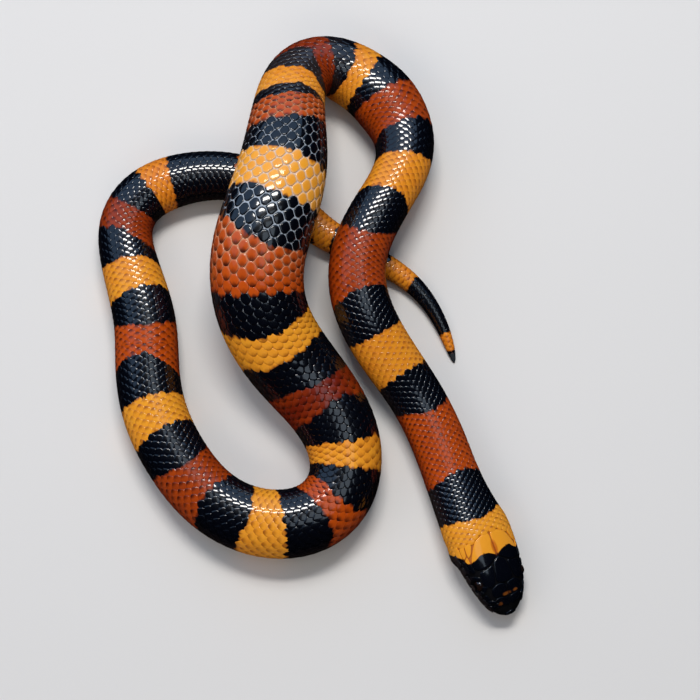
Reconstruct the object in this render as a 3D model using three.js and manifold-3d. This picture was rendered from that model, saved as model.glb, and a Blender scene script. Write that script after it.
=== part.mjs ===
// A young ringed milk snake lying in loose bends, life size, in millimetres, +Z up.
// The floor is z = 0. The body starts at the joint behind the head and is measured from there
// along its own length. Its thick middle arches over the root of the tail, and the neck arches
// over the thin end of the tail.
import * as THREE from 'three';
import { mergeVertices } from 'three/addons/utils/BufferGeometryUtils.js';
import Module from 'manifold-3d';

const wasm = await Module();
wasm.setup();

const GAP = 0.3; // between one length of the body and the next, on the inside of a bend
const DEGREE = Math.PI / 180;

// The way the animal lies, from the neck to the tip of the tail: corners of a smooth curve.
const ROUTE = [
  [19.0, -28.8], [15.9, -23.0], [13.3, -17.1], [11.2, -11.0], [8.4, -5.4], [4.2, -0.2],
  [1.0, 5.5], [0.6, 11.8], [3.4, 17.8], [7.0, 23.4], [7.6, 29.6], [3.7, 35.9],
  [-2.7, 39.5], [-7.5, 37.0], [-8.2, 30.0], [-8.4, 22.9], [-10.3, 16.8], [-12.2, 10.6],
  [-11.7, 4.3], [-8.5, -1.2], [-3.8, -6.1], [-0.3, -12.0], [-0.5, -18.6], [-5.1, -22.8],
  [-12.1, -22.9], [-18.1, -19.8], [-22.2, -14.7], [-25.3, -8.9], [-26.5, -2.8], [-26.4, 3.6],
  [-28.5, 10.1], [-30.4, 16.6], [-27.6, 21.7], [-20.8, 24.1], [-13.9, 24.0], [-8.7, 20.6],
  [-3.9, 16.3], [2.0, 13.3], [7.8, 10.4], [11.6, 5.6], [13.9, -0.8], [15.1, -8.5],
];

// Width of the body at distances from the head; the swelling is a meal in the stomach.
const WIDTHS = [
  [0, 8.6], [2.5, 7.8], [6, 7.1], [12, 7.0], [20, 7.0], [30, 7.4], [38, 7.3], [44, 7.0],
  [49, 6.9], [56, 8.0], [62, 8.8], [68, 8.4], [75, 8.1], [82, 9.4], [89, 11.3], [95, 12.0],
  [101, 12.1], [108, 11.7], [118, 10.9], [125, 10.0], [133, 9.0], [144, 8.7], [154, 8.2],
  [170, 8.2], [181, 7.9], [193, 6.9], [201, 6.8], [208, 6.3], [214, 5.9], [219, 5.2],
  [224, 4.3], [229, 3.7], [235, 2.95], [240, 2.35], [244, 1.9], [247, 1.5], [249, 1.0], [250, 0.5],
];
// Height over width.
const FLATNESS = [[0, 0.65], [5, 0.76], [12, 0.82], [24, 0.86], [205, 0.86], [222, 0.84], [250, 0.84]];
const WIDEST_AT = 0.47; // height of the widest point over the whole height
const BACK_ROUNDNESS = 2.15;
const BELLY_ROUNDNESS = 2.7;
const BELLY_FLAT = 1.06; // the curve of the belly is cut off where it would sink below the floor

// Stretches where the body leaves the floor to pass over the tail.
const ARCHES = [
  { leaves: 14, up: 36.5, down: 43, lands: 64, height: 3.5 },
  { leaves: 64, up: 91.5, down: 97, lands: 122, height: 5.2 },
];
// The head and the start of the neck lie rolled to one side; the rest of the body rests flat, but
// its skin is still turned a little round it.
const HEAD_ROLL = 20;
const ROLL_FADES_AT = 14;
const SKIN_TURN = [[0, 0], [14, 8], [24, 8], [40, 0], [66, 0], [76, -24], [84, -18], [92, -11], [120, -9], [140, 0], [250, 0]];

// Belly scutes.
const SCUTE_PER_WIDTH = 0.135;
const LEAST_SCUTE = 0.82;
const SCUTE_RISE = 0.1;
const SCUTE_STEP = 0.14; // length of the step at the rear edge
const SCUTE_EDGE = 132; // angle round the body, from the back
const FLAT_EDGE = 157;
const BACK_FACETS = 12;
const TIGHT_BEND = 9; // below this radius every scute has its own ring of facets
const CREASE = 0.35; // what is left on the inside of the tightest bend
const END_CLEAR = 0.45; // no ring lies nearer than this to the end of a length
const TIP_POINT = 0.25;
const FULL_WIDTH = 4; // scutes are lower where the body is thinner than this

// Where the body is parted.
const LENGTHS = {
  neck: [0, 27],
  trunk_1: [27, 47],
  trunk_2: [47, 64],
  trunk_3: [64, 80],
  trunk_4: [80, 96],
  trunk_5: [96, 118],
  trunk_6: [118, 144],
  trunk_7: [144, 160],
  trunk_8: [160, 174],
  trunk_9: [174, 187],
  trunk_10: [187, 205],
  tail_1: [205, 230],
  tail_2: [230, 250],
};

const SKIN = {
  red: new THREE.Color(0xb4512a),
  black: new THREE.Color(0x11131c),
  orange: new THREE.Color(0xe59a35),
  eye: new THREE.Color(0x050507),
};
const LOOKS = {
  neck: 'red', trunk_1: 'red', trunk_2: 'orange', trunk_3: 'orange', trunk_4: 'orange', trunk_5: 'red',
  trunk_6: 'black', trunk_7: 'red', trunk_8: 'orange', trunk_9: 'red', trunk_10: 'black',
  tail_1: 'black', tail_2: 'orange',
};

const smooth = (t) => {
  const x = Math.min(Math.max(t, 0), 1);
  return x * x * x * (x * (6 * x - 15) + 10);
};

// Smooth curve through [place, value] rows.
function table(rows) {
  const slope = rows.map((row, i) => {
    const a = rows[Math.max(i - 1, 0)];
    const b = rows[Math.min(i + 1, rows.length - 1)];
    return (b[1] - a[1]) / (b[0] - a[0]);
  });
  return (at) => {
    if (at <= rows[0][0]) return rows[0][1];
    let i = 0;
    while (i < rows.length - 2 && at > rows[i + 1][0]) i += 1;
    const [x0, y0] = rows[i];
    const [x1, y1] = rows[i + 1];
    const h = x1 - x0;
    const t = Math.min((at - x0) / h, 1);
    const u = 1 - t;
    return y0 * u * u * (1 + 2 * t) + y1 * t * t * (3 - 2 * t) + h * t * u * (slope[i] * u - slope[i + 1] * t);
  };
}

const widthAt = table(WIDTHS);
const flatnessAt = table(FLATNESS);
const turnAt = table(SKIN_TURN);
const heightAt = (s) => widthAt(s) * flatnessAt(s);
const rollAt = (s) => HEAD_ROLL * (1 - smooth(s / ROLL_FADES_AT));
const liftAt = (s) => ARCHES.reduce(
  (sum, a) => sum + a.height * smooth((s - a.leaves) / (a.up - a.leaves)) * smooth((a.lands - s) / (a.lands - a.down)),
  0,
);

// Place on the route, with u from 0 to the number of its spans.
const SPANS = ROUTE.length - 3;
function onRoute(u) {
  const i = Math.min(Math.floor(u), SPANS - 1);
  const f = u - i;
  const weights = [(1 - f) ** 3, 3 * f ** 3 - 6 * f ** 2 + 4, -3 * f ** 3 + 3 * f ** 2 + 3 * f + 1, f ** 3];
  const place = new THREE.Vector2();
  weights.forEach((w, j) => place.add(new THREE.Vector2(...ROUTE[i + j]).multiplyScalar(w / 6)));
  return place;
}

const ROUTE_STEPS = 6000;
const steps = [];
for (let i = 0, s = 0; i <= ROUTE_STEPS; i += 1) {
  const place = onRoute((i / ROUTE_STEPS) * SPANS);
  if (i) s += place.distanceTo(steps[i - 1].place);
  steps.push({ place, s });
}
const BODY = steps[ROUTE_STEPS].s;

function placeAt(s) {
  let low = 0;
  let high = ROUTE_STEPS;
  while (high - low > 1) {
    const middle = (low + high) >> 1;
    if (steps[middle].s > s) high = middle;
    else low = middle;
  }
  const share = (s - steps[low].s) / (steps[high].s - steps[low].s);
  return steps[low].place.clone().lerp(steps[high].place, share);
}

// The frame of the body at a distance from the head: side points to the right of one who walks
// from the head to the tail, and bend is the radius of the turn, positive to the left.
const NEAR = 0.25;
function frameAt(s) {
  const at = Math.min(Math.max(s, NEAR), BODY - NEAR);
  const [before, here, after] = [at - NEAR, at, at + NEAR].map(placeAt);
  const ahead = after.clone().sub(here);
  const behind = here.clone().sub(before);
  const turn = behind.cross(ahead) / (behind.length() * ahead.length());
  const climb = (liftAt(at + NEAR) - liftAt(at - NEAR)) / (2 * NEAR);
  const flat = after.clone().sub(before).normalize();
  const along = new THREE.Vector3(flat.x, flat.y, climb).normalize();
  const side = new THREE.Vector3(flat.y, -flat.x, 0);
  const up = new THREE.Vector3().crossVectors(side, along);
  const place = placeAt(Math.min(Math.max(s, 0), BODY));
  return { base: new THREE.Vector3(place.x, place.y, liftAt(s)), along, side, up, bend: NEAR / (turn || 1e-9) };
}

// Section of the body: the point at an angle round the skin from the back, positive to the right.
const power = (x, p) => Math.sign(x) * Math.abs(x) ** p;
function sectionPoint(angle, half, height) {
  const across = Math.sin(angle);
  const upward = Math.cos(angle);
  const middle = height * WIDEST_AT;
  if (upward >= 0) {
    return [half * power(across, 2 / BACK_ROUNDNESS), middle + (height - middle) * power(upward, 2 / BACK_ROUNDNESS)];
  }
  return [
    half * power(across, 2 / BELLY_ROUNDNESS),
    middle * Math.max(0, 1 - BELLY_FLAT * power(-upward, 2 / BELLY_ROUNDNESS)),
  ];
}

// Points of the skin at one distance from the head, for angles in degrees, raised by rises.
function ringAt(s, angles, rises) {
  const frame = frameAt(s);
  const half = widthAt(s) / 2;
  const height = heightAt(s);
  const roll = rollAt(s) * DEGREE;
  const inner = Math.min(half, Math.abs(frame.bend) - CREASE);
  const rolled = (angle) => {
    const [across, upward] = sectionPoint((angle + turnAt(s)) * DEGREE, half, height);
    const inside = across * frame.bend < 0;
    const x = inside ? (across * inner) / half : across;
    const y = upward - height / 2;
    return [x * Math.cos(roll) + y * Math.sin(roll), y * Math.cos(roll) - x * Math.sin(roll)];
  };
  const lowest = Math.min(...BELLY_ANGLES.map((angle) => rolled(angle)[1]));
  return angles.map((angle, i) => {
    const [x, y] = rolled(angle);
    const up = y - lowest + (rises ? rises[i] : 0);
    return frame.base.clone().addScaledVector(frame.side, x).addScaledVector(frame.up, up);
  });
}

const toSolid = (geometry) => {
  const bare = geometry.index ? geometry.toNonIndexed() : geometry.clone();
  for (const name of Object.keys(bare.attributes)) if (name !== 'position') bare.deleteAttribute(name);
  const merged = mergeVertices(bare, 1e-4);
  return new wasm.Manifold(new wasm.Mesh({
    numProp: 3,
    vertProperties: new Float32Array(merged.attributes.position.array),
    triVerts: new Uint32Array(merged.index.array),
  }));
};

const toGeometry = (solid) => {
  const mesh = solid.getMesh();
  return new THREE.BufferGeometry()
    .setAttribute('position', new THREE.BufferAttribute(new Float32Array(mesh.vertProperties), 3))
    .setIndex([...mesh.triVerts]);
};

// A closed geometry from points and triangles, turned outwards if it comes out inwards.
function closed(points, faces) {
  let volume = 0;
  for (const [a, b, c] of faces) volume += points[a].dot(points[b].clone().cross(points[c]));
  const index = volume < 0 ? faces.flatMap(([a, b, c]) => [a, c, b]) : faces.flat();
  return new THREE.BufferGeometry().setFromPoints(points).setIndex(index);
}

// Distances from the head at which each scute of the belly begins.
const scuteStarts = [];
for (let s = 0; s < BODY - LEAST_SCUTE; s += Math.max(SCUTE_PER_WIDTH * widthAt(s), LEAST_SCUTE)) scuteStarts.push(s);

const BACK_ANGLES = Array.from({ length: BACK_FACETS + 1 }, (_, i) => SCUTE_EDGE * ((2 * i) / BACK_FACETS - 1));
const BELLY_ANGLES = [SCUTE_EDGE, FLAT_EDGE, 180, -FLAT_EDGE, -SCUTE_EDGE];

// Width of the gap along the middle of the body, so that its inner side is never less than GAP.
const LEAST_INNER_SHARE = 0.6;
const gapAt = (s) => GAP / Math.max(1 - widthAt(s) / 2 / Math.abs(frameAt(s).bend), LEAST_INNER_SHARE);

// One length of the body: coarse rings over the back, and a step on the belly at every scute.
function bodyLength([from, to]) {
  const isTip = to > BODY - 1;
  const start = from + gapAt(from) / 2;
  const end = isTip ? BODY - TIP_POINT : to - gapAt(to) / 2;
  const points = [];
  const faces = [];
  const add = (list) => list.map((p) => points.push(p) - 1);

  const stations = [{ s: start, ring: true, rise: 0 }];
  scuteStarts.forEach((s, k) => {
    if (s < start + END_CLEAR || s > end - END_CLEAR) return;
    stations.push({ s: s - SCUTE_STEP, ring: false, rise: 0 });
    stations.push({ s, ring: k % 2 === 0 || Math.abs(frameAt(s).bend) < TIGHT_BEND, rise: SCUTE_RISE });
  });
  stations.push({ s: end, ring: true, rise: 0 });

  const made = stations.map(({ s, ring, rise }) => {
    const size = Math.min(1, widthAt(s) / FULL_WIDTH);
    const rises = BELLY_ANGLES.map((a) => (Math.abs(a) > SCUTE_EDGE ? rise * size : 0));
    const belly = add(ringAt(s, BELLY_ANGLES, rises));
    if (!ring) return { belly };
    const back = add(ringAt(s, BACK_ANGLES).slice(1, -1));
    return { belly, back: [belly[4], ...back, belly[0]] };
  });

  let last = 0;
  for (let i = 1; i < made.length; i += 1) {
    const [a, b] = [made[i - 1].belly, made[i].belly];
    for (let j = 0; j < 4; j += 1) faces.push([a[j], b[j + 1], b[j]], [a[j], a[j + 1], b[j + 1]]);
    if (!made[i].back) continue;
    const [p, q] = [made[last].back, made[i].back];
    for (let j = 1; j < BACK_FACETS - 1; j += 1) faces.push([p[j], q[j + 1], q[j]], [p[j], p[j + 1], q[j + 1]]);
    const leftEdge = made.slice(last, i + 1).map((m) => m.belly[4]);
    const rightEdge = made.slice(last, i + 1).map((m) => m.belly[0]);
    stitch(leftEdge, p[1], q[1], faces, false);
    stitch(rightEdge, p[BACK_FACETS - 1], q[BACK_FACETS - 1], faces, true);
    last = i;
  }

  const front = [...made[0].back, ...made[0].belly.slice(1, 4)];
  const rear = [...made[made.length - 1].back, ...made[made.length - 1].belly.slice(1, 4)];
  const middle = (ring) => ring.reduce((sum, k) => sum.add(points[k]), new THREE.Vector3()).divideScalar(ring.length);
  const [frontMiddle, rearMiddle] = add([middle(front), middle(rear)]);
  if (isTip) points[rearMiddle].addScaledVector(frameAt(BODY).along, TIP_POINT);
  for (let j = 0; j < front.length; j += 1) {
    const next = (j + 1) % front.length;
    faces.push([frontMiddle, front[next], front[j]], [rearMiddle, rear[j], rear[next]]);
  }
  return closed(points, faces);
}

// Fills the strip between a long edge with many points and a short edge with two.
function stitch(edge, near, far, faces, flip) {
  const half = Math.floor(edge.length / 2);
  const fan = [];
  for (let k = 0; k < edge.length - 1; k += 1) fan.push([k < half ? near : far, edge[k], edge[k + 1]]);
  fan.push([near, edge[half], far]);
  for (const [a, b, c] of fan) faces.push(flip ? [a, b, c] : [a, c, b]);
}

// The head has its own frame: x from the joint to the snout, y to its left, z up from under the chin.

const HEAD_LENGTH = 11.85;
const HEAD_HALF_WIDTH = [
  [0, 4.3], [1.5, 4.42], [3, 4.36], [5, 4.08], [7, 3.72], [8.5, 3.27], [9.8, 2.75], [10.7, 2.18],
  [11.3, 1.6], [11.65, 1.0], [11.85, 0.25],
];
const HEAD_TOP = [
  [0, 5.5], [1.5, 5.5], [3, 5.4], [5, 5.1], [7, 4.7], [8.5, 4.2], [9.8, 3.6], [10.7, 3.05],
  [11.3, 2.65], [11.65, 2.2], [11.85, 1.7],
];
const LIP_HEIGHT = [[0, 2.05], [3, 1.85], [5, 1.95], [7, 1.95], [9, 1.7], [11, 1.5], [11.85, 1.5]];
const CHIN_HEIGHT = [[0, 0], [9, 0], [10, 0.12], [11, 0.5], [11.5, 0.85], [11.85, 1.3]];
const SKULL_BOXINESS = [[0, 2.15], [4, 2.5], [9, 2.7], [11.4, 2.4], [11.85, 2.2]];
const JAW_ROUNDNESS = 2.4;
const LOWER_JAW_INSET = 0.07; // share of the half width
const LIP_GROOVE = 0.32;
const LIP_EDGE = 0.05; // from the lips' edges to the line of the mouth
const MOUTH_LINE = 0.02; // depth of that line behind the corner of the mouth
const MOUTH_CORNER = 3.0;
const MOUTH_OPENS = 1.2; // the groove reaches its depth within this length
const HEAD_START = 0.33; // the head's rear face, clear of the neck's
const SNOUT_POINT = 0.05;

const halfAt = table(HEAD_HALF_WIDTH);
const topAt = table(HEAD_TOP);
const lipAt = table(LIP_HEIGHT);
const chinAt = table(CHIN_HEIGHT);
const boxAt = table(SKULL_BOXINESS);
const mouthAt = (x) => smooth((x - MOUTH_CORNER) / MOUTH_OPENS);

// Skin of the upper head at a share of the way from the lip (0) to the crown (1).
function crownPoint(x, share) {
  const angle = (share * Math.PI) / 2;
  const p = 2 / boxAt(x);
  const y = halfAt(x) * Math.cos(angle) ** p;
  return [y, lipAt(x) + (topAt(x) - lipAt(x)) * Math.sin(angle) ** p];
}

const HEAD_RINGS = 24;
const CROWN_FACETS = 8;
const CHIN_FACETS = 5;
const LEAST_LIP = 0.4; // the groove never goes deeper than this share of the half width

function headRing(x) {
  const right = [];
  for (let i = CROWN_FACETS; i >= 0; i -= 1) {
    const [y, z] = crownPoint(x, i / CROWN_FACETS);
    right.push([y, i ? z : z + LIP_EDGE]);
  }
  const open = mouthAt(x);
  const half = halfAt(x);
  const low = half * (1 - LOWER_JAW_INSET * open);
  right.push([Math.max(half - MOUTH_LINE - LIP_GROOVE * open, half * LEAST_LIP), lipAt(x) - MOUTH_LINE]);
  for (let i = 0; i <= CHIN_FACETS; i += 1) {
    const angle = (i / CHIN_FACETS) * (Math.PI / 2);
    const y = low * Math.cos(angle) ** (2 / JAW_ROUNDNESS);
    const z = lipAt(x) - (lipAt(x) - chinAt(x)) * Math.min(1, BELLY_FLAT * Math.sin(angle) ** (2 / JAW_ROUNDNESS));
    right.push([y, i ? z : z - LIP_EDGE - 2 * MOUTH_LINE]);
  }
  const left = right.slice(1, -1).reverse().map(([y, z]) => [-y, z]);
  return [...right, ...left].map(([y, z]) => new THREE.Vector3(x, -y, z));
}

function headCore() {
  const rings = [];
  const reach = HEAD_LENGTH - SNOUT_POINT - HEAD_START;
  for (let i = 0; i <= HEAD_RINGS; i += 1) rings.push(headRing(HEAD_START + reach * Math.sin((i / HEAD_RINGS) * (Math.PI / 2))));
  const count = rings[0].length;
  const points = rings.flat();
  const faces = [];
  for (let i = 0; i < HEAD_RINGS; i += 1) {
    for (let j = 0; j < count; j += 1) {
      const [a, b] = [i * count + j, i * count + ((j + 1) % count)];
      faces.push([a, b, b + count], [a, b + count, a + count]);
    }
  }
  const back = points.push(new THREE.Vector3(HEAD_START, 0, HEAD_TOP[0][1] / 2)) - 1;
  const front = points.push(new THREE.Vector3(HEAD_LENGTH - SNOUT_POINT / 2, 0, lipAt(HEAD_LENGTH))) - 1;
  const lastRing = HEAD_RINGS * count;
  for (let j = 0; j < count; j += 1) {
    const next = (j + 1) % count;
    faces.push([back, next, j], [front, lastRing + j, lastRing + next]);
  }
  return closed(points, faces);
}

// Where a plate's outline lies on the head: seen from above, from the side, or from the front.
const INSIDE = 0.999;
const SNOUT_FROM = 9;
function onCrown(x, y) {
  const p = boxAt(x) / 2;
  const across = Math.min(Math.abs(y) / halfAt(x), INSIDE);
  const angle = Math.acos(across ** p);
  return new THREE.Vector3(x, y, lipAt(x) + (topAt(x) - lipAt(x)) * Math.sin(angle) ** (1 / p));
}
function onCheek(x, z, side) {
  const p = boxAt(x) / 2;
  const upward = Math.min(Math.max((z - lipAt(x)) / (topAt(x) - lipAt(x)), 0), INSIDE);
  return new THREE.Vector3(x, side * halfAt(x) * Math.cos(Math.asin(upward ** p)) ** (1 / p), z);
}
function onJaw(x, z, side) {
  const down = Math.min(Math.max((lipAt(x) - z) / (lipAt(x) - chinAt(x)), 0), INSIDE);
  const p = JAW_ROUNDNESS / 2;
  const half = halfAt(x) * (1 - LOWER_JAW_INSET * mouthAt(x));
  return new THREE.Vector3(x, side * half * Math.cos(Math.asin(down ** p)) ** (1 / p), z);
}
function onSnout(y, z) {
  let [low, high] = [SNOUT_FROM, HEAD_LENGTH - SNOUT_POINT / 2];
  const outside = (x) => {
    const up = (z - lipAt(x)) / (topAt(x) - lipAt(x));
    const p = boxAt(x);
    return (Math.abs(y) / halfAt(x)) ** p + Math.abs(up) ** p > 1;
  };
  for (let i = 0; i < 30; i += 1) {
    const middle = (low + high) / 2;
    if (outside(middle)) high = middle;
    else low = middle;
  }
  return new THREE.Vector3(low, y, z);
}

const PLATE_RISE = 0.08;
const PLATE_ROOT = 0.3;
const PLATE_EDGE = 0.65; // longest side of a plate's rim facets
const PLATE_RINGS = [[0.97, -PLATE_ROOT], [1, PLATE_RISE * 0.55], [0.86, PLATE_RISE], [0.45, PLATE_RISE * 1.15]];
const PLATE_DOME = 1.2;
const CHART_STEP = 0.05;
const SKULL_MIDDLE = 2.2;

// A raised plate: its outline in a two-number chart of the head, and the chart itself.
function plate(outline, chart) {
  const centre = outline.reduce(([u, v], [a, b]) => [u + a / outline.length, v + b / outline.length], [0, 0]);
  const rim = [];
  outline.forEach(([u, v], i) => {
    const [a, b] = outline[(i + 1) % outline.length];
    const count = Math.max(1, Math.round(Math.hypot(a - u, b - v) / PLATE_EDGE));
    for (let k = 0; k < count; k += 1) rim.push([u + ((a - u) * k) / count, v + ((b - v) * k) / count]);
  });
  const inward = ([u, v], share) => [centre[0] + (u - centre[0]) * share, centre[1] + (v - centre[1]) * share];
  const outwards = (u, v) => {
    const across = chart(u + CHART_STEP, v).sub(chart(u - CHART_STEP, v));
    const n = across.cross(chart(u, v + CHART_STEP).sub(chart(u, v - CHART_STEP))).normalize();
    const from = chart(u, v).sub(new THREE.Vector3(chart(u, v).x * 0.8, 0, SKULL_MIDDLE));
    return n.dot(from) < 0 ? n.negate() : n;
  };
  const raised = ([u, v], by) => chart(u, v).addScaledVector(outwards(u, v), by);
  const rings = PLATE_RINGS.map(([share, rise]) => rim.map((p) => raised(inward(p, share), rise)));
  const count = rim.length;
  const points = [...rings.flat(), raised(centre, PLATE_RISE * PLATE_DOME), raised(centre, -PLATE_ROOT * PLATE_DOME)];
  const faces = [];
  for (let j = 0; j < count; j += 1) {
    const next = (j + 1) % count;
    for (let i = 0; i < rings.length - 1; i += 1) {
      const [a, b] = [i * count + j, i * count + next];
      faces.push([a, b, b + count], [a, b + count, a + count]);
    }
    const lastRing = (rings.length - 1) * count;
    faces.push([lastRing + j, lastRing + next, points.length - 2], [next, j, points.length - 1]);
  }
  return toSolid(closed(points, faces));
}

// Plates of the crown, as half outlines seen from above, from the neck to the snout.
const CROWN_PLATES = {
  parietal: [[1.35, 0.08], [1.5, 1.2], [2.4, 2.25], [4.5, 2.45], [5.5, 1.75], [5.2, 0.95], [4.55, 0.08]],
  brow: [[5.75, 1.85], [5.5, 1.05], [7.7, 1.4], [8.2, 2.2], [7.2, 2.62], [6.3, 2.55]],
  prefrontal: [[8.15, 0.07], [7.95, 1.35], [8.4, 2.15], [9.35, 2.1], [9.7, 0.07]],
  internasal: [[9.82, 0.07], [9.5, 1.95], [10.35, 1.55], [10.85, 0.07]],
};
const FRONTAL = [[4.7, 0], [5.35, 0.85], [7.6, 1.27], [8.0, 0.6], [8.03, 0]];
const UPPER_LIP = { edges: [10.85, 9.95, 8.9, 7.75, 6.6, 5.4, 4.2, 3.1], tops: [0.95, 1.0, 0.95, 0.62, 0.62, 1.0, 1.15, 1.15] };
const LOWER_LIP = { edges: [10.9, 9.7, 8.4, 7.1, 5.8, 4.5, 3.4], depth: 0.8 };
const CHEEK = {
  loreal: [[8.75, 1.02], [8.65, 1.62], [9.45, 1.5], [9.5, 1.05]],
  temporal_1: [[4.35, 1.2], [4.3, 2.1], [5.6, 2.05], [5.75, 1.1]],
  temporal_2: [[2.9, 1.25], [2.75, 2.2], [4.15, 2.15], [4.25, 1.25]],
  nasal: [[9.7, 1.05], [9.65, 1.55], [10.3, 1.4], [10.7, 1.02]],
};
const SUTURE = 0.06;

function headPlates() {
  const solids = [];
  const mirrored = (half) => [...half, ...half.slice(1, -1).reverse().map(([x, y]) => [x, -y])];
  solids.push(plate(mirrored(FRONTAL), onCrown));
  for (const side of [1, -1]) {
    for (const half of Object.values(CROWN_PLATES)) solids.push(plate(half.map(([x, y]) => [x, side * y]), onCrown));
    const cheek = (x, above) => onCheek(x, lipAt(x) + above, side);
    for (const outline of Object.values(CHEEK)) solids.push(plate(outline, cheek));
    UPPER_LIP.edges.slice(1).forEach((rear, i) => {
      const fore = UPPER_LIP.edges[i] - SUTURE;
      const aft = rear + SUTURE;
      const outline = [[fore, 0.1], [fore - 0.1, UPPER_LIP.tops[i]], [aft + 0.05, UPPER_LIP.tops[i + 1]], [aft, 0.1]];
      solids.push(plate(outline, cheek));
    });
    const jaw = (x, below) => onJaw(x, lipAt(x) - below, side);
    LOWER_LIP.edges.slice(1).forEach((rear, i) => {
      const fore = LOWER_LIP.edges[i] - SUTURE;
      const aft = rear + SUTURE;
      const depth = Math.min(LOWER_LIP.depth, (lipAt(fore) - chinAt(fore)) * 0.7);
      solids.push(plate([[fore, 0.16], [fore - 0.1, depth], [aft - 0.05, depth], [aft, 0.16]], jaw));
    });
  }
  solids.push(plate([[-0.85, 1.62], [0.85, 1.62], [0.8, 2.1], [0, 2.5], [-0.8, 2.1]], onSnout));
  return solids;
}

const EYE_RADIUS = 0.85;
const EYE_GAP = 0.15;
const EYE = { x: 7.15, out: 3.12, z: 3.12 };
const NOSTRIL = { x: 10.15, z: 2.75, radius: 0.2 };

function head() {
  let solid = headPlates().reduce((sum, one) => sum.add(one), toSolid(headCore()));
  for (const side of [1, -1]) {
    const socket = new THREE.SphereGeometry(EYE_RADIUS + EYE_GAP, 18, 12).translate(EYE.x, side * EYE.out, EYE.z);
    const at = onCheek(NOSTRIL.x, NOSTRIL.z, side);
    const pit = new THREE.SphereGeometry(NOSTRIL.radius, 10, 8).scale(1.2, 1.3, 0.9).translate(at.x, at.y, at.z);
    solid = solid.subtract(toSolid(socket)).subtract(toSolid(pit));
  }
  return toGeometry(solid);
}

const looks = (name) => new THREE.MeshStandardMaterial({
  name, color: SKIN[name], roughness: name === 'eye' ? 0.08 : 0.32, metalness: 0,
});

const snake = new THREE.Group();
snake.name = 'milk_snake';

for (const [name, span] of Object.entries(LENGTHS)) {
  const geometry = bodyLength(span);
  const { base } = frameAt((span[0] + span[1]) / 2);
  const mesh = new THREE.Mesh(geometry.translate(-base.x, -base.y, -base.z), looks(LOOKS[name]));
  mesh.name = name;
  mesh.position.copy(base);
  snake.add(mesh);
}

// The head carries on the line of the neck, turned a little inwards, and rolled.
const HEAD_TURN = -2.5;
const joint = frameAt(0);
const headGroup = new THREE.Group();
headGroup.rotation.order = 'ZYX';
headGroup.rotation.z = Math.atan2(-joint.along.y, -joint.along.x) + HEAD_TURN * DEGREE;
headGroup.rotation.x = -HEAD_ROLL * DEGREE;
headGroup.position.set(joint.base.x, joint.base.y, 0);
const skull = new THREE.Mesh(head(), looks('black'));
skull.name = 'head';
headGroup.add(skull);
for (const [name, side] of [['eye_left', 1], ['eye_right', -1]]) {
  const eye = new THREE.Mesh(new THREE.SphereGeometry(EYE_RADIUS, 18, 12), looks('eye'));
  eye.name = name;
  eye.position.set(EYE.x, side * EYE.out, EYE.z);
  headGroup.add(eye);
}
// The roll turns about the middle of the head, and the lowest point of the jaw rests on the floor.
const MIDDLE_HEIGHT = HEAD_TOP[0][1] / 2;
snake.add(headGroup);
const offset = new THREE.Vector3(0, 0, MIDDLE_HEIGHT).applyEuler(headGroup.rotation);
headGroup.position.x -= offset.x;
headGroup.position.y -= offset.y;
headGroup.updateMatrixWorld(true);
headGroup.position.z -= new THREE.Box3().setFromObject(headGroup, true).min.z;

// The origin is on the floor under the middle of the animal.
snake.updateMatrixWorld(true);
const middle = new THREE.Box3().setFromObject(snake, true).getCenter(new THREE.Vector3());
for (const child of snake.children) {
  child.position.x -= middle.x;
  child.position.y -= middle.y;
}

export default snake;
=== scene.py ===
"""Hatchling milk snake, life size, lying in loose bends over its own tail.

Sizes in the tables are millimetres. Places along the animal are measured from the joint behind
the head towards the tip of the tail, so they are negative on the head. Angles are degrees round
the skin from the middle of the back, positive on the animal's left side.
"""
import logging
import math
from dataclasses import dataclass, fields
from enum import Enum
from typing import Callable, Sequence

import bpy
import numpy as np
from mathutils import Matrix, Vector


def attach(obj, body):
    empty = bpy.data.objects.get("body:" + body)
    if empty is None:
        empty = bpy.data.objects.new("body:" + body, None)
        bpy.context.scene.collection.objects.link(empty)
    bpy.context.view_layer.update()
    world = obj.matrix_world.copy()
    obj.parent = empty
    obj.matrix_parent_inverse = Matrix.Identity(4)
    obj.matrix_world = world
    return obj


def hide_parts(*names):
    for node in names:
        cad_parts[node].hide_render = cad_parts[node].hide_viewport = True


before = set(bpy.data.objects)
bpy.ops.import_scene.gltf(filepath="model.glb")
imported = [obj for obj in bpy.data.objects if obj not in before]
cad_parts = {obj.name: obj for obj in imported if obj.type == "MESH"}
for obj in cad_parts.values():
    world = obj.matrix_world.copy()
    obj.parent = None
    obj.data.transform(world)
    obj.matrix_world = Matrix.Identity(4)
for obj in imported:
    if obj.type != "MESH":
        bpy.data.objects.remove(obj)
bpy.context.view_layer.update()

LOG = logging.getLogger("milk_snake")
MM = 0.001
BELLY = 180.0

Array = np.ndarray
Chart = Callable[[Array, Array], tuple[Array, Array]]
Colour = tuple[float, float, float]
Faces = list[Sequence[int]]


# Sums that several classes use

def ease(share: Array) -> Array:
    """Smooth step from 0 to 1 without a jump in slope or bend, for a share clipped to 0 and 1."""
    x = np.clip(share, 0.0, 1.0)
    return x * x * x * (x * (6.0 * x - 15.0) + 10.0)


def signed_power(value: Array, exponent: Array | float) -> Array:
    """Power of the size of a number, with the number's own sign."""
    return np.sign(value) * np.abs(value) ** exponent


def unit(vectors: Array) -> Array:
    """The same vectors with the length 1."""
    return vectors / np.maximum(np.linalg.norm(vectors, axis=-1, keepdims=True), 1e-12)


def quarter(arc: Callable[[Array], Array], share: Array, roundness: Array | float) -> Array:
    """Share of a quarter outline where it has a share of its full width (arccos) or height (arcsin)."""
    return np.degrees(arc(np.clip(share, 0.0, 0.999) ** (roundness / 2.0))) / 90.0


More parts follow.
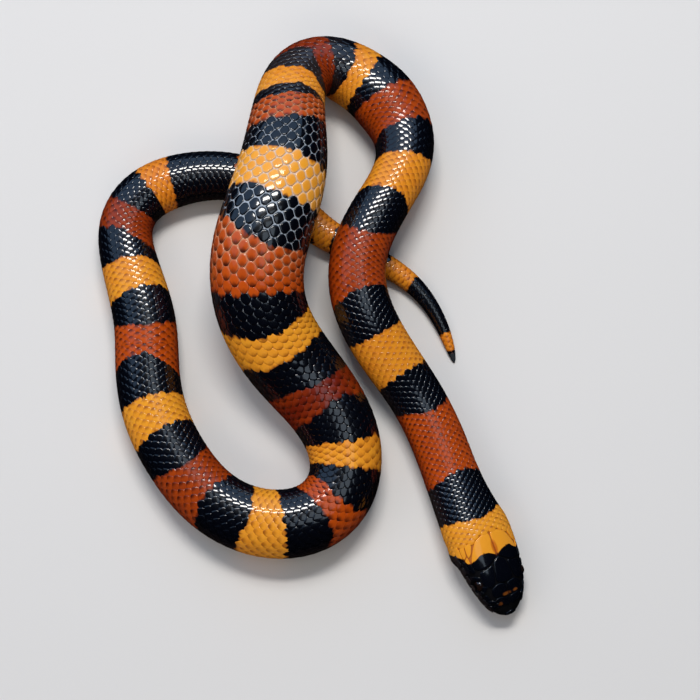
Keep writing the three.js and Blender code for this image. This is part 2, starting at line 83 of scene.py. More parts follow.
def matched(s: Array | float, angle: Array | float) -> tuple[Array, Array]:
    """Places and angles as arrays of one shape, the angles from -180 to 180."""
    s, angle = np.broadcast_arrays(np.asarray(s, float), np.asarray(angle, float))
    return s, (angle + 180.0) % 360.0 - 180.0


@dataclass(frozen=True)
class Curve:
    """Smooth curve through rows of place and value."""

    rows: tuple[tuple[float, float], ...]

    def at(self, place: Array | float) -> Array:
        """Value of the curve.

        Args:
            place: One place or an array of places.

        Returns:
            The values, held constant past both ends.
        """
        x, y = np.array(self.rows, float).T
        last = len(x) - 1
        before, after = (np.clip(np.arange(last + 1) + k, 0, last) for k in (-1, 1))
        slope = (y[after] - y[before]) / (x[after] - x[before])
        i = np.clip(np.searchsorted(x, place, side="left") - 1, 0, last - 1)
        step = x[i + 1] - x[i]
        t = np.clip((place - x[i]) / step, 0.0, 1.0)
        u = 1.0 - t
        bend = step * t * u * (slope[i] * u - slope[i + 1] * t)
        return y[i] * u * u * (1.0 + 2.0 * t) + y[i + 1] * t * t * (3.0 - 2.0 * t) + bend


@dataclass(frozen=True)
class Arch:
    """Stretch of the body that leaves the floor to pass over the tail."""

    leaves: float
    up: float
    down: float
    lands: float
    height: float

    def lift(self, s: Array) -> Array:
        """Height of the belly above the floor at a place."""
        rise = ease((s - self.leaves) / (self.up - self.leaves))
        return self.height * rise * ease((self.lands - s) / (self.lands - self.down))


@dataclass(frozen=True)
class HeadForm:
    """Sections of the head in its own frame: x to the snout, y to its left, z up from the chin."""

    length: float = 11.85
    half_width: Curve = Curve((
        (0, 4.3), (1.5, 4.42), (3, 4.36), (5, 4.08), (7, 3.72), (8.5, 3.27), (9.8, 2.75), (10.7, 2.18),
        (11.3, 1.6), (11.65, 1.0), (11.85, 0.25)))
    top: Curve = Curve((
        (0, 5.5), (1.5, 5.5), (3, 5.4), (5, 5.1), (7, 4.7), (8.5, 4.2), (9.8, 3.6), (10.7, 3.05),
        (11.3, 2.65), (11.65, 2.2), (11.85, 1.7)))
    lip: Curve = Curve(((0, 2.05), (3, 1.85), (5, 1.95), (7, 1.95), (9, 1.7), (11, 1.5), (11.85, 1.5)))
    chin: Curve = Curve(((0, 0), (9, 0), (10, 0.12), (11, 0.5), (11.5, 0.85), (11.85, 1.3)))
    boxiness: Curve = Curve(((0, 2.15), (4, 2.5), (9, 2.7), (11.4, 2.4), (11.85, 2.2)))
    jaw_roundness: float = 2.4
    jaw_inset: float = 0.07
    groove: float = 0.34
    groove_width: float = 1.7
    mouth_corner: float = 3.0
    mouth_opens: float = 1.2
    lip_angle: float = 97.0
    belly_flat: float = 1.06
    eye: tuple[float, float, float] = (7.15, 3.02, 3.06)
    eye_radius: float = 0.79
    eye_bulge: float = 0.8
    orbit_depth: float = 0.5
    orbit_top: float = 0.5
    orbit_flat: float = 0.5
    orbit_wall: float = 0.42
    brow_wall: float = 0.25
    thinnest: float = 0.35
    turn: float = -2.5
    roll: float = 20.0

    def local(self, x: Array, angle: Array) -> Array:
        """Point of the head's skin in its own frame.

        Args:
            x: Distances from the joint towards the snout.
            angle: Angles round the skin.

        Returns:
            Points with the coordinates in the last axis.
        """
        x = np.clip(x, 0.0, self.length)
        size = np.abs(angle)
        half, top, lip, chin = (c.at(x) for c in (self.half_width, self.top, self.lip, self.chin))
        opens = ease((x - self.mouth_corner) / self.mouth_opens)
        crown = np.radians(90.0 * np.clip(1.0 - size / self.lip_angle, 0.0, 1.0))
        p = 2.0 / self.boxiness.at(x)
        jaw = np.radians(90.0 * np.clip((size - self.lip_angle) / (BELLY - self.lip_angle), 0.0, 1.0))
        q = 2.0 / self.jaw_roundness
        upper = size <= self.lip_angle
        low = half * (1.0 - self.jaw_inset * opens)
        y = np.where(upper, half * np.cos(crown) ** p, low * np.clip(np.cos(jaw), 0, 1) ** q)
        z = np.where(upper, lip + (top - lip) * np.sin(crown) ** p,
                     lip - (lip - chin) * np.minimum(1.0, self.belly_flat * np.sin(jaw) ** q))
        inward = self.groove * opens * np.exp(-((size - self.lip_angle) / self.groove_width) ** 2)
        ex, _, ez = self.eye
        dent = self.orbit_depth * (1.0 - ease((np.hypot(x - ex, z - ez) - self.orbit_flat) / self.orbit_wall))
        inward = inward + upper * dent * ease((ez + self.orbit_top - z) / self.brow_wall)
        y = np.maximum(y - inward, y * self.thinnest)
        return np.stack([x, np.where(angle >= 0, y, -y), z], -1)

    def crown_angle(self, x: Array, y: Array) -> Array:
        """Angle round the skin of a point of the crown that is seen from above at x, y."""
        across = quarter(np.arccos, np.abs(y) / self.half_width.at(x), self.boxiness.at(x))
        return np.sign(y) * self.lip_angle * (1.0 - across)

    def cheek_angle(self, x: Array, above: Array, left: Array | int) -> Array:
        """Angle of a point of the cheek at a height above the line of the lips."""
        up = quarter(np.arcsin, above / (self.top.at(x) - self.lip.at(x)), self.boxiness.at(x))
        return left * self.lip_angle * (1.0 - up)

    def jaw_angle(self, x: Array, below: Array, left: int) -> Array:
        """Angle of a point of the lower jaw at a depth below the line of the lips."""
        down = quarter(np.arcsin, below / (self.lip.at(x) - self.chin.at(x)), self.jaw_roundness)
        return left * (self.lip_angle + (BELLY - self.lip_angle) * down)

    def chin_angle(self, x: Array, y: Array) -> Array:
        """Angle of a point of the chin that is seen from below at x, y."""
        low = self.half_width.at(x) * (1.0 - self.jaw_inset)
        across = quarter(np.arccos, np.abs(y) / low, self.jaw_roundness)
        return np.where(y < 0, -1, 1) * (self.lip_angle + (BELLY - self.lip_angle) * across)


class Form:
    """The whole outer form of the animal: places on its skin, and which way the skin faces."""

    CORNERS = (
        (19.0, -28.8), (15.9, -23.0), (13.3, -17.1), (11.2, -11.0), (8.4, -5.4), (4.2, -0.2),
        (1.0, 5.5), (0.6, 11.8), (3.4, 17.8), (7.0, 23.4), (7.6, 29.6), (3.7, 35.9),
        (-2.7, 39.5), (-7.5, 37.0), (-8.2, 30.0), (-8.4, 22.9), (-10.3, 16.8), (-12.2, 10.6),
        (-11.7, 4.3), (-8.5, -1.2), (-3.8, -6.1), (-0.3, -12.0), (-0.5, -18.6), (-5.1, -22.8),
        (-12.1, -22.9), (-18.1, -19.8), (-22.2, -14.7), (-25.3, -8.9), (-26.5, -2.8), (-26.4, 3.6),
        (-28.5, 10.1), (-30.4, 16.6), (-27.6, 21.7), (-20.8, 24.1), (-13.9, 24.0), (-8.7, 20.6),
        (-3.9, 16.3), (2.0, 13.3), (7.8, 10.4), (11.6, 5.6), (13.9, -0.8), (15.1, -8.5))
    MIDDLE = (-5.3255, 4.1467)
    WIDTH = Curve((
        (0, 8.6), (2.5, 7.8), (6, 7.1), (12, 7.0), (20, 7.0), (30, 7.4), (38, 7.3), (44, 7.0),
        (49, 6.9), (56, 8.0), (62, 8.8), (68, 8.4), (75, 8.1), (82, 9.4), (89, 11.3), (95, 12.0),
        (101, 12.1), (108, 11.7), (118, 10.9), (125, 10.0), (133, 9.0), (144, 8.7), (154, 8.2),
        (170, 8.2), (181, 7.9), (193, 6.9), (201, 6.8), (208, 6.3), (214, 5.9), (219, 5.2),
        (224, 4.3), (229, 3.7), (235, 2.95), (240, 2.35), (244, 1.9), (247, 1.5), (249, 1.0), (250, 0.5)))
    FLATNESS = Curve(((0, 0.65), (5, 0.76), (12, 0.82), (24, 0.86), (205, 0.86), (222, 0.84), (250, 0.84)))
    SKIN_TURN = Curve((
        (0, 0), (14, 8), (24, 8), (40, 0), (66, 0), (76, -24), (84, -18), (92, -11), (120, -9), (140, 0),
        (250, 0)))
    ARCHES = (Arch(14, 36.5, 43, 64, 3.5), Arch(64, 91.5, 97, 122, 5.2))
    WIDEST_AT = 0.47
    BACK_ROUNDNESS = 2.15
    BELLY_ROUNDNESS = 2.7
    BELLY_FLAT = 1.06
    ROLL_FADES_AT = 14.0
    CREASE = 0.35
    NEAR = 0.25
    STEP = 0.05
    HEAD_BLEND = 3.2
    TRACK_POINTS = 6001
    RING = np.arange(-180.0, 180.0, 3.0)
    PROBE = (0.06, 0.8)

    def __init__(self) -> None:
        """Works out the tables of the route and of every section."""
        self.head = HeadForm()
        corners = np.array(self.CORNERS) - np.array(self.MIDDLE)
        spans = len(corners) - 3
        u = np.linspace(0.0, spans, self.TRACK_POINTS)
        i = np.minimum(u.astype(int), spans - 1)
        f = u - i
        weights = (1 - f) ** 3, 3 * f ** 3 - 6 * f ** 2 + 4, -3 * f ** 3 + 3 * f ** 2 + 3 * f + 1, f ** 3
        self._track = sum((w / 6.0)[:, None] * corners[i + j] for j, w in enumerate(weights))
        self._length = np.r_[0.0, np.cumsum(np.hypot(*np.diff(self._track, axis=0).T))]
        self.body = float(self._length[-1])
        self._build_rows()
        self._place_head()

    def _flat(self, s: Array) -> Array:
        """Place on the route, seen from above."""
        return np.stack([np.interp(s, self._length, self._track[:, k]) for k in (0, 1)], -1)

    def lift(self, s: Array) -> Array:
        """Height of the belly above the floor."""
        return sum(arch.lift(s) for arch in self.ARCHES)

    def _build_rows(self) -> None:
        """Fills the tables of frames and section sizes, one row for each step along the body."""
        s = np.arange(0.0, self.body + self.STEP, self.STEP)
        at = np.clip(s, self.NEAR, self.body - self.NEAR)
        before, here, after = (self._flat(at + k * self.NEAR) for k in (-1, 0, 1))
        a, b, flat = unit(here - before), unit(after - here), unit(after - before)
        climb = (self.lift(at + self.NEAR) - self.lift(at - self.NEAR)) / (2 * self.NEAR)
        along = unit(np.c_[flat, climb])
        side = np.c_[flat[:, 1], -flat[:, 0], np.zeros(len(s))]
        width = self.WIDTH.at(s)
        half, height = width / 2.0, width * self.FLATNESS.at(s)
        roll = np.radians(self.head.roll * (1.0 - ease(s / self.ROLL_FADES_AT)))
        x, y = self._section(self.RING, half[:, None], height[:, None])
        rolled = (y - height[:, None] / 2) * np.cos(roll[:, None]) - x * np.sin(roll[:, None])
        self._rows = {
            "base": np.c_[self._flat(np.clip(s, 0, self.body)), self.lift(s)],
            "along": along, "side": side, "up": np.cross(side, along), "half": half, "height": height,
            "roll": roll, "low": rolled.min(1), "turn": self.SKIN_TURN.at(s),
            "curve": (a[:, 0] * b[:, 1] - a[:, 1] * b[:, 0]) / self.NEAR}

    def _row(self, name: str, s: Array) -> Array:
        """Entries of one table at places along the body."""
        table = self._rows[name]
        at = np.clip(s / self.STEP, 0.0, len(table) - 1)
        i = np.minimum(at.astype(int), len(table) - 2)
        f = at - i if table.ndim == 1 else (at - i)[..., None]
        return table[i] * (1 - f) + table[i + 1] * f

    def _section(self, angle: Array, half: Array, height: Array) -> tuple[Array, Array]:
        """Offsets across and up of the section's outline, from the middle of its underside."""
        across, upward = np.sin(np.radians(angle)), np.cos(np.radians(angle))
        middle = height * self.WIDEST_AT
        back = upward >= 0
        x = half * np.where(back, signed_power(across, 2 / self.BACK_ROUNDNESS),
                            signed_power(across, 2 / self.BELLY_ROUNDNESS))
        high = middle + (height - middle) * np.abs(upward) ** (2 / self.BACK_ROUNDNESS)
        low = middle * np.maximum(0.0, 1.0 - self.BELLY_FLAT * np.abs(upward) ** (2 / self.BELLY_ROUNDNESS))
        return x, np.where(back, high, low)

    def _body_point(self, s: Array, angle: Array) -> Array:
        """Point of the body's skin, also on the straight line that runs on under the head."""
        half, height, roll, curve = (self._row(n, s) for n in ("half", "height", "roll", "curve"))
        x, y = self._section(angle + self._row("turn", s), half, height)
        room = 1.0 / np.maximum(np.abs(curve), 1e-9) - self.CREASE
        x = np.where(x * curve < 0, x * np.minimum(half, room) / half, x)
        y = y - height / 2
        across = x * np.cos(roll) + y * np.sin(roll)
        upward = y * np.cos(roll) - x * np.sin(roll) - self._row("low", s)
        base = self._row("base", s) + self._row("along", s) * np.minimum(s, 0.0)[..., None]
        return base + self._row("side", s) * across[..., None] + self._row("up", s) * upward[..., None]

    def _place_head(self) -> None:
        """Sets the head on the line of the neck, rolled, with the jaw on the floor."""
        along, base = self._rows["along"][0], self._rows["base"][0]
        heading = math.atan2(-along[1], -along[0]) + math.radians(self.head.turn)
        roll = -math.radians(self.head.roll)
        c, s, cr, sr = math.cos(heading), math.sin(heading), math.cos(roll), math.sin(roll)
        spin = np.array([[c, -s, 0], [s, c, 0], [0, 0, 1]])
        self.head_turn = spin @ np.array([[1, 0, 0], [0, cr, -sr], [0, sr, cr]])
        middle = self.head_turn @ np.array([0, 0, self.head.top.rows[0][1] / 2])
        self.head_base = np.array([base[0] - middle[0], base[1] - middle[1], 0.0])
        x, angle = np.meshgrid(np.linspace(0.3, self.head.length, 80), self.RING)
        self.head_base[2] = -(self.head.local(x, angle) @ self.head_turn.T)[..., 2].min()

    def head_point(self, local: Array) -> Array:
        """Point of the row's frame for one in the head's own frame."""
        return local @ self.head_turn.T + self.head_base

    def surface(self, s: Array, angle: Array) -> Array:
        """Point of the skin.

        Args:
            s: Places along the animal.
            angle: Angles round the skin.

        Returns:
            Points in millimetres, with the coordinates in the last axis.
        """
        s, angle = matched(s, angle)
        body = self._body_point(s, angle)
        head = self.head_point(self.head.local(-s, angle))
        share = ease(-s / self.HEAD_BLEND)[..., None]
        return body * (1.0 - share) + head * share

    def normal(self, s: Array, angle: Array) -> Array:
        """Direction in which the skin faces, of length 1."""
        ds, da = self.PROBE
        s = np.clip(s, -self.head.length + 1.2 * ds, self.body - ds)
        along = self.surface(s + ds, angle) - self.surface(s - ds, angle)
        around = self.surface(s, angle + da) - self.surface(s, angle - da)
        return unit(np.cross(around, along))

    def raised(self, s: Array, angle: Array, rise: Array | float) -> Array:
        """Point above the skin, in millimetres."""
        return self.surface(s, angle) + self.normal(s, angle) * np.asarray(rise)[..., None]


# Markings

class Pigment(Enum):
    """Colours of the rings by their letters in the table, in the order of their shares."""

    RED = "R"
    BLACK = "B"
    AMBER = "A"


@dataclass(frozen=True)
class RingPattern:
    """Where each ring ends, at five angles from the right side over the back to the left side.

    The cap is the edge of the black of the head. A fleck is a pale or reddish spot: its place and
    angle, half its length and width, its strength, and its share of red.
    """

    angles: tuple[float, ...] = (-80, -40, 0, 40, 80)
    ends: tuple[tuple[str, float, float, float, float, float], ...] = (
        ("A", 1.5, 1.0, 0.4, 1.0, 1.6), ("B", 6.3, 6.7, 7.2, 6.8, 6.3), ("R", 17.6, 16.5, 15.6, 16.1, 16.8),
        ("B", 22.6, 22.9, 22.9, 22.6, 22.3), ("A", 28.5, 28.5, 28.5, 28.6, 28.6),
        ("B", 32.5, 33.1, 33.7, 33.9, 33.7), ("R", 41.2, 41.1, 41.1, 41.8, 43.2),
        ("B", 45.6, 46.4, 47.2, 47.3, 46.6), ("A", 50.1, 51.0, 51.7, 52.1, 52.5),
        ("B", 54.1, 55.2, 56.2, 56.7, 56.5), ("R", 63.6, 63.2, 62.8, 62.3, 62.0),
        ("B", 66.0, 65.9, 65.9, 66.4, 66.7), ("A", 73.5, 70.4, 69.1, 69.5, 69.7),
        ("B", 76.4, 74.8, 72.8, 72.6, 72.6), ("R", 79.0, 78.6, 76.2, 75.0, 77.2),
        ("B", 80.3, 80.0, 78.6, 78.8, 79.2), ("A", 82.3, 81.8, 81.1, 81.6, 82.0),
        ("B", 82.4, 82.3, 82.5, 83.0, 83.4), ("R", 85.3, 85.0, 85.4, 86.0, 86.5),
        ("B", 90.4, 90.0, 89.3, 89.2, 89.4), ("A", 94.6, 94.9, 94.7, 94.5, 95.0),
        ("B", 100.1, 100.7, 100.8, 99.6, 98.7), ("R", 105.7, 105.4, 105.3, 105.3, 105.1),
        ("B", 107.6, 108.8, 109.8, 109.5, 108.4), ("A", 113.2, 113.4, 114.0, 113.7, 112.4),
        ("B", 121.0, 121.2, 121.3, 119.9, 117.8), ("R", 124.9, 124.4, 124.0, 124.7, 124.1),
        ("B", 128.8, 129.1, 129.3, 128.8, 128.0), ("A", 132.0, 132.1, 132.3, 132.1, 131.7),
        ("B", 135.5, 136.1, 136.1, 135.2, 135.4), ("R", 139.6, 138.8, 138.5, 139.4, 140.6),
        ("B", 143.7, 143.4, 143.5, 144.1, 144.9), ("A", 148.5, 148.3, 147.9, 148.4, 149.0),
        ("B", 152.9, 153.7, 154.3, 153.8, 153.4), ("R", 159.9, 159.4, 158.8, 159.0, 159.8),
        ("B", 163.6, 164.0, 164.5, 164.5, 164.0), ("A", 168.2, 168.6, 169.0, 168.8, 168.4),
        ("B", 172.9, 173.9, 174.6, 173.2, 171.6), ("R", 179.1, 178.7, 178.3, 178.5, 178.8),
        ("B", 182.5, 183.0, 183.5, 183.3, 182.7), ("A", 187.7, 187.7, 187.8, 187.2, 186.0),
        ("B", 192.4, 192.2, 191.8, 189.6, 188.2), ("R", 195.1, 195.2, 195.2, 195.2, 195.3),
        ("B", 198.8, 198.8, 198.8, 198.9, 198.9), ("A", 202.3, 202.1, 201.9, 201.7, 201.4),
        ("B", 210.6, 210.6, 210.6, 210.6, 210.6), ("A", 214.4, 214.4, 214.4, 214.4, 214.4),
        ("B", 222.0, 222.2, 222.4, 223.6, 224.3), ("A", 225.9, 225.9, 226.0, 226.3, 226.4),
        ("B", 234.0, 234.0, 234.0, 234.0, 234.0), ("A", 238.0, 238.0, 238.0, 238.2, 238.2),
        ("B", 246.1, 246.1, 246.1, 246.1, 246.1), ("A", 248.5, 248.5, 248.5, 248.4, 248.4))
    cap: Curve = Curve((
        (-180, -3.0), (-140, -1.5), (-110, -1.6), (-88, -2.5), (-68, -3.4), (-61, -4.2), (-40, -4.2),
        (-28, -3.9), (-14, -3.9), (-7, -4.1), (0, -4.4), (7, -4.1), (16, -3.9), (28, -3.8), (37, -4.2),
        (52, -4.4), (68, -3.6), (88, -2.6), (110, -1.6), (140, -1.5), (180, -3.0)))
    flecks: tuple[tuple[float, float, float, float, float, float], ...] = (
        (-9.4, -4.5, 0.30, 10.0, 0.20, 0.4), (-9.3, 15.0, 0.22, 9.0, 0.22, 0.4),
        (-10.3, -28.0, 0.30, 8.0, 0.12, 0.4), (-3.5, 0.0, 1.3, 4.5, 0.7, 1.0))

    def ring(self, s: Array, angle: Array) -> Array:
        """Number of the pigment of each place, in the order of Pigment.

        Args:
            s: Places along the animal.
            angle: Angles round the skin.

        Returns:
            Whole numbers, black in front of the cap and behind the last ring.
        """
        s, angle = matched(s, angle)
        number = {pigment.value: k for k, pigment in enumerate(Pigment)}
        black = number[Pigment.BLACK.value]
        found = np.full(s.shape, black)
        for letter, *edge in reversed(self.ends):
            found = np.where(s < Curve(tuple(zip(self.angles, edge))).at(angle), number[letter], found)
        return np.where(s < self.cap.at(angle), black, found)

    def shares(self, s: Array, angle: Array, blur: float = 0.0) -> Array:
        """Share of red, black and amber at each place, softened along the body by blur.

        Args:
            s: Places along the animal.
            angle: Angles round the skin.
            blur: Half the width of the soft edge.

        Returns:
            Three numbers for each place.
        """
        steps = np.linspace(-blur, blur, 5) if blur else (0.0,)
        share = sum(np.eye(3)[self.ring(s + d, angle)] for d in steps) / len(steps)
        for at, around, long, wide, strength, redness in self.flecks:
            reach = np.hypot((s - at) / long, (angle - around) / wide)
            spot = strength * (1.0 - ease((reach - 0.4) / 0.6))[..., None]
            share = share * (1.0 - spot) + np.array([redness, 0.0, 1.0 - redness]) * spot
        return share


# Materials

class Wire:
    """A shader socket that takes part in sums."""

    def __init__(self, shader: "Shader", socket: bpy.types.NodeSocket) -> None:
        """Keeps the socket and the shader that it belongs to."""
        self.shader, self.socket = shader, socket

    def _math(self, kind: str, *values: "Wire | float") -> "Wire":
        """Adds one Math node."""
        return self.shader.node("ShaderNodeMath", {"operation": kind}, dict(enumerate(values)))

    def __add__(self, other: "Wire | float") -> "Wire":
        """Sum."""
        return self._math("ADD", self, other)

    __radd__ = __add__

    def __sub__(self, other: "Wire | float") -> "Wire":
        """Difference."""
        return self._math("SUBTRACT", self, other)

    def __rsub__(self, other: float) -> "Wire":
        """Difference from a number."""
        return self._math("SUBTRACT", other, self)

    def __mul__(self, other: "Wire | float") -> "Wire":
        """Product."""
        return self._math("MULTIPLY", self, other)

    __rmul__ = __mul__

    def clipped(self) -> "Wire":
        """The same number kept between 0 and 1."""
        return self.shader.node("ShaderNodeClamp", {}, {"Value": self})


class Shader:
    """One material and the way its nodes are added."""

    MIX_INPUTS, MIX_OUTPUT = (0, 6, 7), 2

    def __init__(self, name: str) -> None:
        """Starts a material with a Principled surface."""
        self.material = bpy.data.materials.new(name)
        self.material.use_nodes = True
        self.tree = self.material.node_tree
        self.tree.nodes.clear()
        self.surface = self.tree.nodes.new("ShaderNodeBsdfPrincipled")
        output = self.tree.nodes.new("ShaderNodeOutputMaterial")
        self.tree.links.new(self.surface.outputs[0], output.inputs["Surface"])

    def node(self, kind: str, settings: dict, inputs: dict, output: int | str = 0) -> Wire:
        """Adds a node.

        Args:
            kind: Blender's name of the node's type.
            settings: Properties of the node, set before its sockets.
            inputs: Values or wires by socket name or number.
            output: The output that is wanted.

        Returns:
            The wire of that output.
        """
        made = self.tree.nodes.new(kind)
        for key, value in settings.items():
            setattr(made, key, value)
        for key, value in inputs.items():
            if isinstance(value, Wire):
                self.tree.links.new(value.socket, made.inputs[key])
            else:
                made.inputs[key].default_value = value
        return Wire(self, made.outputs[output])

    def attribute(self, name: str, output: str = "Color") -> Wire:
        """Value that the mesh carries."""
        return self.node("ShaderNodeAttribute", {"attribute_name": name}, {}, output)

    def split(self, colour: Wire) -> list[Wire]:
        """The three numbers of a colour."""
        first = self.node("ShaderNodeSeparateColor", {}, {"Color": colour})
        return [Wire(self, out) for out in first.socket.node.outputs]

    def mix(self, share: "Wire | float", a: "Wire | Colour", b: "Wire | Colour") -> Wire:
        """Colour between a and b."""
        inputs = {key: (*value, 1.0) if isinstance(value, tuple) else value
                  for key, value in zip(self.MIX_INPUTS, (share, a, b))}
        return self.node("ShaderNodeMix", {"data_type": "RGBA"}, inputs, self.MIX_OUTPUT)

    def ringed(self, black: Wire, amber: Wire, *colours: "Wire | Colour") -> Wire:
        """Colour by the shares of black and amber, from those of the red, black and amber rings."""
        return self.mix(amber, self.mix(black, *colours[:2]), colours[2])

    def noise(self, size: float, detail: float = 3.0) -> Wire:
        """Noise whose patches are about size across, in metres."""
        place = self.node("ShaderNodeTexCoord", {}, {}, "Object")
        return self.node("ShaderNodeTexNoise", {}, {"Vector": place, "Scale": 1.0 / size, "Detail": detail})

    def bump(self, height: Wire, distance: float, strength: float = 1.0) -> Wire:
        """Normal bent by a height, whose full range is distance in metres."""
        return self.node("ShaderNodeBump", {}, {"Height": height, "Distance": distance, "Strength": strength})

    def set(self, **sockets: "Wire | float | tuple") -> bpy.types.Material:
        """Sets sockets of the surface, with an underscore for each space in a name.

        Args:
            **sockets: Wires, numbers or colours.

        Returns:
            The material.
        """
        for key, value in sockets.items():
            socket = self.surface.inputs[key.replace("_", " ")]
            if isinstance(value, Wire):
                self.tree.links.new(value.socket, socket)
            else:
                socket.default_value = (*value, 1.0) if isinstance(value, tuple) else value
        return self.material


@dataclass(frozen=True)
class ScaleFinish:
    """Smooth horny scales in the ring colours, dark at their free tips, with painted shade on the red flanks
    and a painted reflection on the black ones.
    """

    name: str = "scales"
    red: Colour = (0.50, 0.070, 0.003)
    # Red painted darker down the flanks: painted shade.
    red_flank: Colour = (0.19, 0.018, 0.003)
    # Dark red for random tone and for the darkening along the body, which is partly painted shade.
    red_dusk: Colour = (0.145, 0.011, 0.002)
    red_tip: Colour = (0.040, 0.003, 0.001)
    red_rim: Colour = (0.72, 0.34, 0.18)
    # Near-black with a navy tint, which partly stands for a painted reflection of the blue sky.
    black: Colour = (0.0010, 0.0016, 0.0042)
    # Brown-grey on the black flanks: a painted reflection of warm surroundings.
    black_flank: Colour = (0.030, 0.021, 0.020)
    black_tip: Colour = (0.001, 0.001, 0.002)
    amber: Colour = (0.86, 0.36, 0.024)
    # Deep amber for random tone, the orange tail and painted shade.
    amber_deep: Colour = (0.66, 0.16, 0.008)
    amber_tip: Colour = (0.20, 0.035, 0.003)
    amber_rim: Colour = (0.78, 0.46, 0.20)
    roughness: float = 0.34
    dullest: float = 0.5
    coat_index: float = 1.65
    coat_roughness: float = 0.09
    specular: float = 0.15
    mottle_size: float = 0.0009
    mottle_share: float = 0.45
    grain_size: float = 0.00012
    grain_depth: float = 0.000006
    rim_on_red: float = 0.5
    shade_red: float = 0.3
    shade_amber: float = 0.4
    rough_mottle: float = 0.12
    rough_ring: float = 0.06

    def material(self) -> bpy.types.Material:
        """Builds the material.

        Returns:
            The material, which reads the attributes rings and marks.
        """
        sh = Shader(self.name)
        _, black, amber = sh.split(sh.attribute("rings"))
        # Alpha of rings: the darkening along the body, partly painted shade.
        deep_and_shade = sh.attribute("rings", "Alpha")
        tip, tone, flank = sh.split(sh.attribute("marks"))
        rim = sh.attribute("marks", "Alpha")
        mottle = sh.noise(self.mottle_size)
        shade = (tone * (1.0 - self.mottle_share) + mottle * self.mottle_share).clipped()
        red = sh.mix((shade * self.shade_red + deep_and_shade).clipped(), self.red, self.red_dusk)
        # Down the flanks red turns to painted shade; stretched scales get a pale rim.
        red = sh.mix(rim * self.rim_on_red, sh.mix(flank, red, self.red_flank), self.red_rim)
        # Down the flanks black turns brown-grey, a painted reflection.
        dark = sh.mix(flank, self.black, self.black_flank)
        gold = sh.mix((shade * self.shade_amber + deep_and_shade).clipped(), self.amber, self.amber_deep)
        base = sh.ringed(black, amber, red, dark, sh.mix(rim, gold, self.amber_rim))
        end = sh.ringed(black, amber, self.red_tip, self.black_tip, self.amber_tip)
        rough = self.roughness + (mottle - 0.5) * self.rough_mottle + (1.0 - black) * self.rough_ring
        return sh.set(Base_Color=sh.mix(tip, base, end), Roughness=rough, Coat_IOR=self.coat_index,
                      Coat_Weight=self.dullest + black * (1.0 - self.dullest),
                      Coat_Roughness=self.coat_roughness, Specular_IOR_Level=self.specular,
                      Normal=sh.bump(sh.noise(self.grain_size, 2.0), self.grain_depth, 0.6))


@dataclass(frozen=True)
class SkinFinish:
    """Soft skin between the scales, palest where the meal stretches it."""

    name: str = "skin"
    red: Colour = (0.30, 0.05, 0.02)
    black: Colour = (0.003, 0.003, 0.004)
    amber: Colour = (0.42, 0.13, 0.02)
    red_pale: Colour = (0.80, 0.46, 0.30)
    black_pale: Colour = (0.36, 0.41, 0.48)
    amber_pale: Colour = (0.68, 0.54, 0.48)
    roughness: float = 0.45
    wrinkle_size: float = 0.00018
    wrinkle_depth: float = 0.00002
    wrinkle_rough: float = 0.2
    specular: float = 0.2

    def material(self) -> bpy.types.Material:
        """Builds the material.

        Returns:
            The material, which reads the attributes rings and marks.
        """
        sh = Shader(self.name)
        _, black, amber = sh.split(sh.attribute("rings"))
        pale, _, _ = sh.split(sh.attribute("marks"))
        plain = sh.ringed(black, amber, self.red, self.black, self.amber)
        stretched = sh.ringed(black, amber, self.red_pale, self.black_pale, self.amber_pale)
        wrinkles = sh.noise(self.wrinkle_size)
        rough = self.roughness + (wrinkles - 0.5) * self.wrinkle_rough
        return sh.set(Base_Color=sh.mix(pale, plain, stretched), Roughness=rough,
                      Specular_IOR_Level=self.specular, Normal=sh.bump(wrinkles, self.wrinkle_depth, 0.7))


@dataclass(frozen=True)
class EyeFinish:
    """The clear scale over a dark eye."""

    name: str = "eye"
    pupil: Colour = (0.001, 0.001, 0.0015)
    iris: Colour = (0.010, 0.005, 0.004)

    def material(self) -> bpy.types.Material:
        """Builds the material, which reads the attribute iris."""
        sh = Shader(self.name)
        ring = sh.attribute("iris", "Fac")
        fleck = sh.noise(0.0002)
        colour = sh.mix((ring * (0.5 + fleck)).clipped(), self.pupil, self.iris)
        return sh.set(Base_Color=colour, Roughness=0.05, Coat_Weight=1.0, Coat_Roughness=0.02)


@dataclass(frozen=True)
class FloorFinish:
    """Plain pale paper under the animal."""

    name: str = "floor"
    colour: Colour = (0.69, 0.678, 0.668)

    def material(self) -> bpy.types.Material:
        """Builds the material."""
        return Shader(self.name).set(Base_Color=self.colour, Roughness=0.85)


# Meshes

def shell(count: int, around: int, front: int | None = None, rear: int | None = None) -> Faces:
    """Faces of a tube of closed rings of points, with a fan to one point at an end if it is given.

    Args:
        count: Number of rings.
        around: Points in a ring.
        front: Number of the point in front of the first ring.
        rear: Number of the point behind the last ring.

    Returns:
        The faces.
    """
    grid = np.arange(count * around).reshape(count, around)
    nxt = np.roll(grid, -1, 1)
    faces = np.stack([grid[:-1], grid[1:], nxt[1:], nxt[:-1]], -1).reshape(-1, 4).tolist()
    pairs = [list(zip(grid[k].tolist(), nxt[k].tolist())) for k in (0, -1)]
    faces += [(front, a, b) for a, b in pairs[0] if front is not None]
    return faces + [(rear, b, a) for a, b in pairs[1] if rear is not None]


